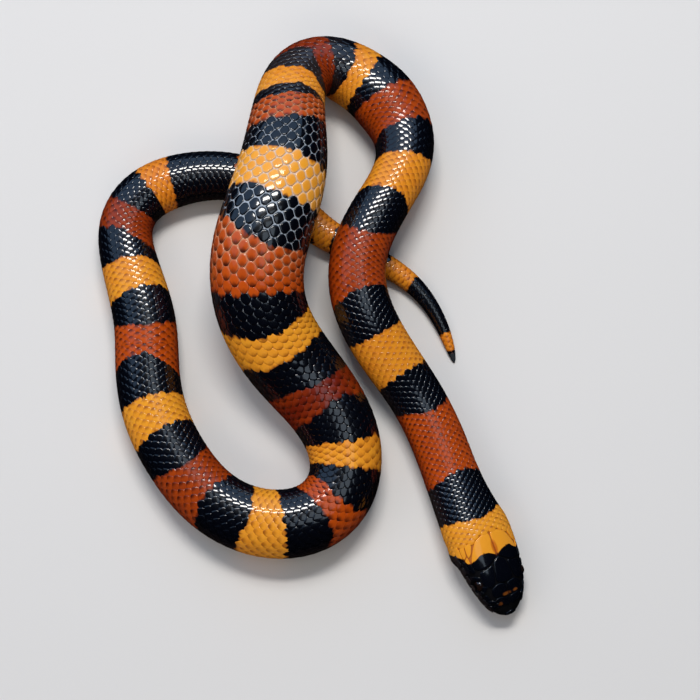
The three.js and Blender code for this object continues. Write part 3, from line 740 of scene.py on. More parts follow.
def new_object(name: str, points: Array, faces: Faces,
               material: bpy.types.Material | None = None) -> bpy.types.Object:
    """Makes an object with a smooth mesh and links it to the scene.

    Args:
        name: Its name.
        points: Points of the mesh.
        faces: Faces by the numbers of their points.
        material: Its material, if it needs one.

    Returns:
        The object.
    """
    mesh = bpy.data.meshes.new(name)
    mesh.from_pydata(points.tolist(), [], faces, shade_flat=False)
    if material:
        mesh.materials.append(material)
    made = bpy.data.objects.new(name, mesh)
    bpy.context.scene.collection.objects.link(made)
    return made


def carry(made: bpy.types.Object, name: str, kind: str, field: str, values: Array) -> None:
    """Gives the points of an object an attribute of a kind whose numbers are in a field."""
    plain = np.ascontiguousarray(values, np.int32 if kind == "INT" else np.float32)
    made.data.attributes.new(name, kind, "POINT").data.foreach_set(field, plain.ravel())


def read(data: bpy.types.bpy_prop_collection, field: str, width: int, kind: type = np.float32) -> Array:
    """Numbers that one field of all entries holds.

    Args:
        data: The entries.
        field: Name of the field.
        width: How many numbers each entry holds.
        kind: Type of the numbers in Blender.

    Returns:
        One row for each entry.
    """
    values = np.empty(len(data) * width, kind)
    data.foreach_get(field, values)
    return values.reshape(-1, width)


@dataclass
class Patch:
    """Points, faces and what each point carries, before they become an object.

    Rings and marks are the colours that the materials read. Roots are places on the unwrap, and
    local is the place in the point's own plate.
    """

    points: Array
    faces: Faces
    rings: Array
    marks: Array
    roots: Array
    local: Array


class Maker:
    """Turns arrays into objects of the model."""

    STRIPS = 8
    PATCH = 0.003
    MARGIN = 0.01

    def __init__(self, form: Form) -> None:
        """Keeps the form, for the unwrap."""
        self.form = form

    def unwrap(self, s: Array, angle: Array) -> Array:
        """Place on the unwrapped skin, which is cut across into strips laid one above another.

        Args:
            s: Places along the animal.
            angle: Angles round the skin.

        Returns:
            Two numbers from 0 to 1 for each place.
        """
        whole = self.form.head.length + self.form.body
        run = np.clip((s + self.form.head.length) / whole, 0.0, 0.99999) * self.STRIPS
        strip = np.floor(run)
        along = self.MARGIN + (1.0 - 2 * self.MARGIN) * (run - strip)
        around = 2 * self.MARGIN + (1.0 - 4 * self.MARGIN) * (((angle + 180.0) % 360.0) / 360.0)
        return np.stack([along, (strip + around) / self.STRIPS], -1)

    def make(self, name: str, patch: Patch, material: bpy.types.Material) -> bpy.types.Object:
        """Makes one object from a patch.

        Args:
            name: Name of the piece.
            patch: Its mesh and what it carries.
            material: Its material.

        Returns:
            The object.
        """
        made = new_object(name, patch.points * MM, patch.faces, material)
        carry(made, "rings", "FLOAT_COLOR", "color", patch.rings)
        carry(made, "marks", "FLOAT_COLOR", "color", patch.marks)
        corners = read(made.data.loops, "vertex_index", 1, np.int32)[:, 0]
        spot = patch.roots[corners] + self.PATCH * patch.local[corners]
        made.data.uv_layers.new(name="OFBake").data.foreach_set("uv", spot.astype(np.float32).ravel())
        made.data.update()
        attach(made, "root")
        LOG.info("%s: %d points, %d faces", name, len(patch.points), len(patch.faces))
        return made


class Skin:
    """The one skin under scales and plates, from the snout to the tip of the tail."""

    DEPTH = 0.10
    BELLY_DEPTH = 0.17
    HEAD_STEP = 0.11
    BODY_STEP = 0.5
    TIP = 0.6
    TIP_RINGS = (1.0, 0.8, 0.6, 0.42, 0.26, 0.13, 0.05)
    NOSE = (0.1, 0.0, 1.52)
    STRETCH = Curve((
        (0, 0.0), (48, 0.08), (58, 0.2), (70, 0.2), (80, 0.5), (87, 0.95), (96, 1.0), (101, 0.85),
        (104, 0.55), (107, 0.3), (112, 0.18), (130, 0.1), (150, 0.06), (250, 0.05)))
    GIRTH = Curve((
        (0, 0.0), (60, 0.1), (78, 0.5), (86, 1.0), (104, 0.95), (112, 0.7), (120, 0.45), (130, 0.2),
        (145, 0.1)))
    GIRTH_SHARE = 0.6
    FLANK, FLANK_WIDTH, FLANK_SHARE = 70.0, 50.0, 0.6
    UNDERSIDE, UNDERSIDE_WIDTH = 120.0, 14.0
    THROAT, THROAT_LENGTH = -4.0, 2.0
    DEEPEST_SHARE = 0.08
    BLUR = 0.12

    def __init__(self, form: Form, pattern: RingPattern, maker: Maker) -> None:
        """Keeps what the skin is made from."""
        self.form, self.pattern, self.maker = form, pattern, maker

    def columns(self) -> Array:
        """Angles of the columns, closer together at the line of the mouth."""
        lip = self.form.head.lip_angle
        close = lip + np.array([-4.2, -2.8, -1.7, -0.8, 0.0, 0.8, 1.7, 2.8, 4.2])
        plain = np.arange(0.0, 180.0, 3.0)
        plain = plain[np.abs(plain - lip) > 5.0]
        right = np.sort(np.r_[plain[1:], close])
        return np.r_[-right[::-1], 0.0, right, 180.0]

    def build(self, material: bpy.types.Material) -> bpy.types.Object:
        """Makes the skin.

        Args:
            material: The finish of the skin.

        Returns:
            The object.
        """
        form, angles = self.form, self.columns()
        share = np.linspace(0.0, 1.0, int(form.head.length / self.HEAD_STEP))
        head = -(form.head.length - 0.02) * np.sin(share[::-1] * math.pi / 2)
        body = np.arange(self.BODY_STEP, form.body - self.TIP, self.BODY_STEP)
        rings = np.r_[head, body, form.body - self.TIP * np.array(self.TIP_RINGS)]
        s, angle = np.meshgrid(rings, angles, indexing="ij")
        under = ease((np.abs(angle) - self.UNDERSIDE) / self.UNDERSIDE_WIDTH)
        under = under * ease((s - self.THROAT) / self.THROAT_LENGTH)
        depth = self.DEPTH + (self.BELLY_DEPTH - self.DEPTH) * under
        depth = np.minimum(depth, form.WIDTH.at(s) * self.DEEPEST_SHARE)
        points = form.raised(s, angle, -depth)
        past = np.clip(1.0 - (form.body - s) / self.TIP, 0.0, 0.99)[..., None]
        middle = points.mean(1, keepdims=True)
        points = middle + (points - middle) * np.sqrt(1.0 - past ** 2)
        inset, side, up = self.NOSE
        nose = form.head_point(np.array([form.head.length - inset, side, up]))
        points = np.r_[points.reshape(-1, 3), [nose, points[-1].mean(0)]]
        count = len(points)
        faces = shell(len(rings), len(angles), count - 2, count - 1)
        s, angle = np.r_[s.ravel(), -form.head.length, form.body], np.r_[angle.ravel(), 0.0, 0.0]
        zero = np.zeros(count)
        flank = ease((np.abs(angle) - self.FLANK) / self.FLANK_WIDTH)
        pale = np.maximum(self.STRETCH.at(s) ** 1.5, self.GIRTH_SHARE * self.GIRTH.at(s))
        pale = pale * (1.0 - self.FLANK_SHARE * flank)
        patch = Patch(points, faces, np.c_[self.pattern.shares(s, angle, self.BLUR), zero],
                      np.c_[pale, zero, zero, zero + 1.0], self.maker.unwrap(s, angle), np.zeros((count, 2)))
        made = self.maker.make("skin", patch, material)
        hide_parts(*[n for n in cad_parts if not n.startswith("eye")])
        return made


@dataclass
class PlateShape:
    """A small plate in its own box: x to the tail, y across, z up, each from -0.5 to 0.5 or 0 to 1."""

    name: str
    points: Array
    faces: Faces

    @staticmethod
    def scale() -> "PlateShape":
        """Scale of the back: round in front, narrowing to its free tip."""
        half = (
            (-0.50, 0.0), (-0.43, 0.26), (-0.27, 0.43), (0.0, 0.5), (0.26, 0.38), (0.43, 0.16), (0.50, 0.0))
        outline = np.array(half + tuple((x, -y) for x, y in half[-2:0:-1]))
        rings = ((0.95, -0.9), (1.0, 0.1), (0.93, 0.72), (0.72, 0.97))
        n = len(outline)
        points = np.concatenate([np.c_[outline * k, np.full(n, z)] for k, z in rings] + [[(0, 0, 1.0)]])
        faces = [tuple(range(n)), *shell(len(rings), n, rear=len(points) - 1)]
        return PlateShape("scale_shape", points, faces)

    @staticmethod
    def scute(across: int = 18) -> "PlateShape":
        """Broad plate of the belly: y runs over the belly from edge to edge."""
        profile = np.array(
            ((-0.5, -0.9), (-0.5, 0.1), (-0.3, 0.62), (0.15, 0.9), (0.44, 1.0), (0.5, 0.62), (0.5, -0.9)))
        share = np.linspace(-1, 1, across + 1)
        y = 0.25 * np.sin(share * math.pi / 2) + 0.25 * share
        taper = (1.0 - np.abs(2 * y) ** 6) * 0.45 + 0.55
        m = len(profile)
        points = np.concatenate([np.c_[profile[:, 0] * k, np.full(m, v), profile[:, 1] * (0.4 + 0.6 * k)]
                                 for v, k in zip(y, taper)])
        ends = [tuple(range(m)), tuple(range(len(points) - 1, len(points) - 1 - m, -1))]
        return PlateShape("scute_shape", points, ends + shell(across + 1, m))


@dataclass
class Lattice:
    """Plates laid out flat: where each stands, its size, its slope and how dark its tip is.

    Base is the height of its underside, and degrees the angle that a millimetre round the body takes.
    """

    s: Array
    angle: Array
    length: Array
    width: Array
    height: Array
    tilt: Array
    base: Array
    degrees: Array
    tip: Array

    def part(self, keep: Array) -> "Lattice":
        """The plates for which keep is true."""
        return Lattice(*(getattr(self, field.name)[keep] for field in fields(self)))


class PlateTree:
    """Geometry Nodes that set one plate on every point of a flat sheet and make them real.

    Size and turn of a plate are random draws from the seed and from the number that follows it.
    """

    INPUTS = {"Plate": "Object", "Size spread": "Float", "Turn spread": "Float", "Seed": "Int",
              "Finish": "Material"}
    NODES = {
        "in": "NodeGroupInput", "out": "NodeGroupOutput", "size": "GeometryNodeInputNamedAttribute",
        "least": "ShaderNodeMath", "most": "ShaderNodeMath", "spread": "FunctionNodeRandomValue",
        "sized": "ShaderNodeVectorMath", "back": "ShaderNodeMath", "next": "ShaderNodeMath",
        "turn": "FunctionNodeRandomValue", "axis": "ShaderNodeCombineXYZ",
        "rotation": "FunctionNodeEulerToRotation", "plate": "GeometryNodeObjectInfo",
        "lay": "GeometryNodeInstanceOnPoints", "real": "GeometryNodeRealizeInstances",
        "paint": "GeometryNodeSetMaterial"}
    SETTINGS = (
        ("size", "data_type", "FLOAT_VECTOR"), ("least", "operation", "SUBTRACT"),
        ("most", "operation", "ADD"), ("spread", "data_type", "FLOAT"), ("sized", "operation", "SCALE"),
        ("back", "operation", "MULTIPLY"), ("next", "operation", "ADD"), ("turn", "data_type", "FLOAT"),
        ("plate", "transform_space", "ORIGINAL"))
    VALUES = (
        ("size", "Name", "size"), ("least", 0, 1.0), ("most", 0, 1.0), ("back", 1, -1.0), ("next", 1, 1.0))
    LINKS = (
        ("in", "Size spread", "least", 1), ("in", "Size spread", "most", 1), ("least", 0, "spread", 2),
        ("most", 0, "spread", 3), ("in", "Seed", "spread", "Seed"), ("size", "Attribute", "sized", 0),
        ("spread", 1, "sized", "Scale"), ("in", "Turn spread", "back", 0), ("in", "Seed", "next", 0),
        ("back", 0, "turn", 2), ("in", "Turn spread", "turn", 3), ("next", 0, "turn", "Seed"),
        ("turn", 1, "axis", "Z"), ("axis", 0, "rotation", 0), ("in", "Plate", "plate", "Object"),
        ("in", "Geometry", "lay", "Points"), ("plate", "Geometry", "lay", "Instance"),
        ("rotation", 0, "lay", "Rotation"), ("sized", 0, "lay", "Scale"), ("lay", 0, "real", 0),
        ("real", 0, "paint", "Geometry"), ("in", "Finish", "paint", "Material"), ("paint", 0, "out", 0))

    def __init__(self) -> None:
        """Builds the tree from the tables."""
        self.tree = bpy.data.node_groups.new("lay_plates", "GeometryNodeTree")
        face = self.tree.interface
        for way in ("INPUT", "OUTPUT"):
            face.new_socket("Geometry", in_out=way, socket_type="NodeSocketGeometry")
        self.keys = {name: face.new_socket(name, in_out="INPUT", socket_type="NodeSocket" + kind).identifier
                     for name, kind in self.INPUTS.items()}
        nodes = {name: self.tree.nodes.new(kind) for name, kind in self.NODES.items()}
        for name, key, value in self.SETTINGS:
            setattr(nodes[name], key, value)
        for name, key, value in self.VALUES:
            nodes[name].inputs[key].default_value = value
        for source, output, target, key in self.LINKS:
            self.tree.links.new(nodes[source].outputs[output], nodes[target].inputs[key])

    def run(self, lattice: Lattice, shape: PlateShape, material: bpy.types.Material, spread: float,
            turn: float, seed: int) -> tuple[Array, Array, Array, Faces]:
        """Lays the plates on the flat sheet.

        Args:
            lattice: Where the plates stand and how big they are.
            shape: The plate.
            material: Its finish.
            spread: How much the size varies.
            turn: How much the direction varies, in radians.
            seed: Seed of the random draws.

        Returns:
            Offsets of all points from their plate's middle, the number of their plate, their place
            in the plate's own box, and the faces.
        """
        plate = new_object(shape.name, shape.points, shape.faces)
        carry(plate, "own", "FLOAT_VECTOR", "vector", shape.points)
        count = len(lattice.s)
        sheet = new_object("sheet", np.zeros((count, 3)), [])
        carry(sheet, "size", "FLOAT_VECTOR", "vector", np.c_[lattice.length, lattice.width, lattice.height])
        carry(sheet, "number", "INT", "value", np.arange(count))
        modifier = sheet.modifiers.new("lay", "NODES")
        modifier.node_group = self.tree
        for key, value in zip(self.INPUTS, (plate, spread, turn, seed, material)):
            modifier[self.keys[key]] = value
        graph = bpy.context.evaluated_depsgraph_get()
        laid = bpy.data.meshes.new_from_object(sheet.evaluated_get(graph), depsgraph=graph)
        points = read(laid.vertices, "co", 3).astype(float)
        own = read(laid.attributes["own"].data, "vector", 3).astype(float)
        number = read(laid.attributes["number"].data, "value", 1, np.int32)[:, 0]
        faces = [tuple(p.vertices) for p in laid.polygons]
        meshes = plate.data, sheet.data, laid
        for old in (plate, sheet):
            bpy.data.objects.remove(old)
        for old in meshes:
            bpy.data.meshes.remove(old)
        return points, number, own, faces


@dataclass
class Zone:
    """Stretch of the body with one number of scale rows over the back."""

    start: float
    end: float
    rows: int


class Coat:
    """All scales and scutes of the body, laid flat and then wrapped on the form.

    Scales are as long as a share of the pitch and as wide as a share of a row. Names that end in
    STRETCHED, GIRTH, NAPE and OFF are what full stretch, full girth, the nape and the edge of the
    back add to a share, a height or a tilt.
    """

    PITCH = Curve((
        (-3, 0.76), (0, 0.78), (10, 0.84), (30, 0.90), (56, 0.95), (70, 0.95), (74, 0.80), (77, 0.74),
        (79.5, 0.9), (81, 0.8), (82.3, 0.74), (84, 1.1), (86, 1.45), (90, 1.7), (98, 1.73), (102, 1.6),
        (105, 1.35), (108, 1.15), (114, 1.1), (125, 1.07), (150, 1.05), (165, 0.97), (185, 0.90),
        (200, 0.86), (215, 0.80), (225, 0.74), (250, 0.70)))
    # Darkening of red and amber at places along the body: partly duskier rings and the deeper orange of the
    # tail, partly painted shade, as where the body shades the tail near 212 to 218.
    DUSK = Curve((
        (0, 0.0), (12, 0.05), (37, 0.3), (58, 0.2), (66, 0.15), (74, 0.6), (79, 0.3), (84, 0.0), (112, 0.0),
        (119, 0.5), (122, 0.85), (126, 0.5), (132, 0.05), (148, 0.05), (157, 0.35), (166, 0.0), (182, 0.0),
        (192, 0.45), (201, 0.5), (212, 0.9), (218, 0.9), (224, 0.4), (250, 0.5)))
    # Share of the black rings at the top bend that take the brown-grey of the flanks, a painted reflection.
    WORN = Curve(((70, 0.0), (74, 0.75), (81, 0.75), (83, 0.0)))
    NAPE = 9.0
    NAPE_FADE = 3.0
    CURL = 0.5
    EDGE = 132.0
    LENGTH, LENGTH_STRETCHED, LENGTH_OFF = 1.30, 0.95 - 1.30, 0.05
    WIDTH, WIDTH_GIRTH, WIDTH_STRETCHED, WIDTH_OFF = 1.66, -0.56, 0.31, 0.12
    HEIGHT, HEIGHT_STRETCHED, HEIGHT_NAPE = 0.08, -0.1, 0.5
    TILT, TILT_STRETCHED, TILT_NAPE = 0.075, -0.045, 0.055
    BASE = -0.08
    SMALL_BODY = 5.0
    TIP_SEED, TIP_LEAST, TIP_START, TIP_LENGTH = 11, 0.55, 0.10, 0.26
    TIP_BLACK, TIP_AMBER = 0.6, 0.85
    # From this angle down the sides the scales take painted shade on red and a painted reflection on black.
    FLANK, FLANK_WIDTH, FLANK_TONE = 48.0, 62.0, 0.25
    RIM, RIM_WIDTH, RIM_STRETCH = 0.32, 0.18, 0.4
    HEXAGON = ((-0.5, 1.2), (-0.43, 0.82), (-0.27, 0.76), (0.0, 1.0), (0.26, 0.85), (0.43, 1.3), (0.5, 1.6))
    SCUTE_HEIGHT, SCUTE_TILT, SCUTE_BASE = 0.10, 0.06, -0.165
    SCUTE_LENGTH, SCUTE_TIP, SCUTE_OVERLAP, SCUTE_SMALL_BODY = 1.18, 0.12, 7.0, 4.0
    BELLY_START, BELLY_END, PAIRS_START = -2.6, 1.1, 205.0
    THROAT_STEP, THROAT_ROW, THROAT_HALF = 0.48, 0.62, 2.2
    THROAT_LENGTH, THROAT_WIDTH, THROAT_HEIGHT = 1.12, 0.78, 0.06
    SIZE_SPREAD, TURN_SPREAD = 0.03, 0.035
    HEAD_EDGE = Curve(((0, -1.5), (20, -1.6), (32, -1.95), (80, -1.95), (86, -2.9), (97, -2.9), (132, -3.0)))
    ZONES = (
        Zone(-3.3, 12, 25), Zone(12, 176, 23), Zone(176, 204, 21), Zone(204, 213, 17), Zone(213, 221, 14),
        Zone(221, 228, 11), Zone(228, 235, 9), Zone(235, 241, 7), Zone(241, 246, 6), Zone(246, 248.9, 5))
    PIECES = {"scales_neck": 56.0, "scales_bend": 84.0, "scales_middle": 124.0, "scales_rear": 190.0,
              "scales_tail": 999.0}

    def __init__(self, form: Form, pattern: RingPattern, maker: Maker, tree: PlateTree) -> None:
        """Keeps what the coat is made from."""
        self.form, self.pattern, self.maker, self.tree = form, pattern, maker, tree
        self.places = np.arange(-4.0, form.body, 0.5)
        spread = np.array([-50.0, -20.0, 20.0, 50.0])
        ahead, behind = (form.surface(self.places[:, None] + d, spread[None]) for d in (0.4, -0.4))
        self.longer = (np.linalg.norm(ahead - behind, axis=-1) / 0.8).mean(1)

    def pitch(self, s: float) -> float:
        """Distance from one scale to the next in the same row, on the skin of the back."""
        return float(self.PITCH.at(s))

    def stations(self, start: float, end: float, share: float) -> list[float]:
        """Places along the body that follow each other at a share of the pitch."""
        places = [start]
        while places[-1] < end:
            longer = float(np.interp(places[-1], self.places, self.longer))
            places.append(places[-1] + share * self.pitch(places[-1]) / longer)
        return places[:-1]

    def arcs(self, s: Array, angles: Array) -> Array:
        """Distance round the section from the first of the angles, for each place."""
        ring = self.form.surface(s[:, None], angles[None])
        step = np.linalg.norm(np.diff(ring, axis=1), axis=-1)
        return np.concatenate([np.zeros((len(s), 1)), np.cumsum(step, 1)], 1)

    def nape(self, s: Array) -> Array:
        """Share by which a place belongs to the nape, where the scales stand off the skin."""
        return ease((self.NAPE - s) / self.NAPE_FADE)

    def back(self) -> Lattice:
        """Lays out the scales of back, sides and tail.

        Returns:
            The lattice, from the head to the tip.
        """
        columns: list[tuple[float, float, int]] = []
        for zone in self.ZONES:
            places = self.stations(zone.start, zone.end, 0.5)
            for s, after in zip(places, places[1:] + [zone.end]):
                columns.append((s, max(2.0 * (after - s), 0.5 * self.pitch(s)), zone.rows))
        angles = np.linspace(-self.EDGE, self.EDGE, 89)
        arcs = self.arcs(np.array([c[0] for c in columns]), angles)
        found = []
        for number, ((s, pitch, rows), arc) in enumerate(zip(columns, arcs)):
            gap = arc[-1] / rows
            for row in range(number % 2, rows, 2):
                centre = (row + 0.5) * gap
                angle, ahead, behind = np.interp([centre, centre - 0.2, centre + 0.2], arc, angles)
                if s >= self.HEAD_EDGE.at(abs(angle)):
                    off = abs(2 * row - rows + 1) / (rows - 1)
                    found.append((s, angle, pitch, gap, (behind - ahead) / 0.4, off))
        s, angle, pitch, gap, degrees, off = np.array(found).T
        loose, nape = Skin.STRETCH.at(s), self.nape(s)
        length = self.LENGTH + self.LENGTH_STRETCHED * loose
        width = self.WIDTH + self.WIDTH_GIRTH * Skin.GIRTH.at(s) + self.WIDTH_STRETCHED * loose
        height = self.HEIGHT * (1.0 + self.HEIGHT_STRETCHED * loose + self.HEIGHT_NAPE * nape)
        tilt = self.TILT + self.TILT_STRETCHED * loose + self.TILT_NAPE * nape
        small = np.minimum(1.0, self.form.WIDTH.at(s) / self.SMALL_BODY)
        tip = np.random.default_rng(self.TIP_SEED).random(len(s))
        return Lattice(s, angle, pitch * length * (1.0 + self.LENGTH_OFF * off),
                       gap * width * (1.0 + self.WIDTH_OFF * off ** 3), height * small, tilt * small,
                       np.full(len(s), self.BASE), degrees, self.TIP_LEAST + (1.0 - self.TIP_LEAST) * tip)

    def belly(self) -> Lattice:
        """Lays out the broad scutes of the belly and the smaller pairs under the tail.

        Returns:
            The lattice, from the throat to the tip.
        """
        found = []
        half = BELLY - self.EDGE
        for s in self.stations(self.BELLY_START, self.form.body - Skin.TIP, 1.0):
            pitch = self.pitch(s)
            if s < self.PAIRS_START:
                found.append((s, BELLY, pitch, 2 * half + self.SCUTE_OVERLAP))
            else:
                found += [(s + shift * pitch, BELLY - left * (half + 3.0) / 2, pitch, half + 1.0)
                          for left, shift in ((1, 0.0), (-1, 0.5))]
        table = np.array(found)
        s, angle, pitch, spread = table[table[:, 0] < self.form.body - self.BELLY_END].T
        small = np.minimum(1.0, self.form.WIDTH.at(s) / self.SCUTE_SMALL_BODY)
        one = np.ones(len(s))
        return Lattice(s, angle, pitch * self.SCUTE_LENGTH, spread, self.SCUTE_HEIGHT * small,
                       self.SCUTE_TILT * small, self.SCUTE_BASE * small, one, self.SCUTE_TIP * one)

    def throat(self) -> Lattice:
        """Lays out the small scales between the chin shields and the first scute."""
        found = []
        for k, x in enumerate(np.arange(-self.BELLY_START, 6.4, self.THROAT_STEP)):
            for j in np.arange(-3.0, 3.01, 1.0):
                y = (j + 0.5 * (k % 2)) * self.THROAT_ROW
                if abs(y) <= self.THROAT_HALF and (x <= 4.5 or abs(y) >= 1.25):
                    found.append((-x, float(self.form.head.chin_angle(np.array(x), np.array(y)))))
        s, angle = np.array(found).T
        one = np.ones(len(s))
        turns = np.linspace(105.0, 255.0, 51)
        degrees = (turns[-1] - turns[0]) / self.arcs(s, turns)[:, -1]
        return Lattice(s, angle, self.THROAT_LENGTH * one, self.THROAT_WIDTH * one, self.THROAT_HEIGHT * one,
                       self.THROAT_HEIGHT * one, self.BASE * one, degrees, 0.1 * one)

    def wrap(self, lattice: Lattice, shape: PlateShape, material: bpy.types.Material, seed: int) -> Patch:
        """Lays the plates flat and wraps every point of them on the form.

        Args:
            lattice: Where the plates stand.
            shape: The plate.
            material: Its finish.
            seed: Seed of the random draws.

        Returns:
            The patch of all plates.
        """
        offset, number, own, faces = self.tree.run(
            lattice, shape, material, self.SIZE_SPREAD, self.TURN_SPREAD, seed)
        s0, a0 = lattice.s[number], lattice.angle[number]
        s = np.clip(s0 + offset[:, 0], -self.form.head.length, self.form.body - 0.02)
        loose = Skin.STRETCH.at(s0)
        is_scale = shape.name == "scale_shape"
        place, share = np.array(self.HEXAGON).T
        sixfold = 1.0 + loose * (np.interp(own[:, 0], place, share) - 1.0) * is_scale
        angle = a0 - offset[:, 1] * sixfold * lattice.degrees[number]
        rise = lattice.base[number] + offset[:, 2] + lattice.tilt[number] * (own[:, 0] + 0.5)
        nape = self.nape(s0) * (np.abs(a0) < self.EDGE) * is_scale
        rise -= self.CURL * nape * np.maximum(own[:, 0], 0.0) ** 2
        rings = self.pattern.shares(0.5 * (s0 + s), 0.5 * (a0 + angle))
        tone = np.random.default_rng(seed).random(len(lattice.s))[number]
        red, black, amber = rings.T
        edge = ease((own[:, 0] - self.TIP_START) / self.TIP_LENGTH)
        dark = red + self.TIP_BLACK * black + self.TIP_AMBER * amber * (1.0 - loose)
        # Flank share: painted shade on red and a painted reflection on black, also on the black of the top
        # bend.
        side = ease((np.abs(matched(s0, a0)[1]) - self.FLANK) / self.FLANK_WIDTH)
        flank = np.maximum(side, self.WORN.at(s0) * black) * (1.0 + self.FLANK_TONE * (tone - 1.0))
        rim = ease((np.hypot(own[:, 0], own[:, 1]) - self.RIM) / self.RIM_WIDTH)
        rim = rim * ease((loose - self.RIM_STRETCH) / self.RIM_STRETCH)
        return Patch(self.form.raised(s, angle, rise), faces, np.c_[rings, self.DUSK.at(s0)],
                     np.c_[edge * lattice.tip[number] * dark, tone, flank, rim],
                     self.maker.unwrap(s0, a0), own[:, :2])

    def build(self, material: bpy.types.Material) -> None:
        """Makes every coat piece.

        Args:
            material: The finish of scales and scutes.
        """
        lattice, start = self.back(), -99.0
        jobs = []
        for seed, (name, end) in enumerate(self.PIECES.items(), 20):
            part = lattice.part((lattice.s >= start) & (lattice.s < end))
            jobs.append((name, part, PlateShape.scale(), seed, "red"))
            start = end
        jobs += [("belly_scutes", self.belly(), PlateShape.scute(), 40, "orange"),
                 ("throat_scales", self.throat(), PlateShape.scale(), 41, "black")]
        for name, plates, shape, seed, slot in jobs:
            self.maker.make(name, self.wrap(plates, shape, material, seed), material)


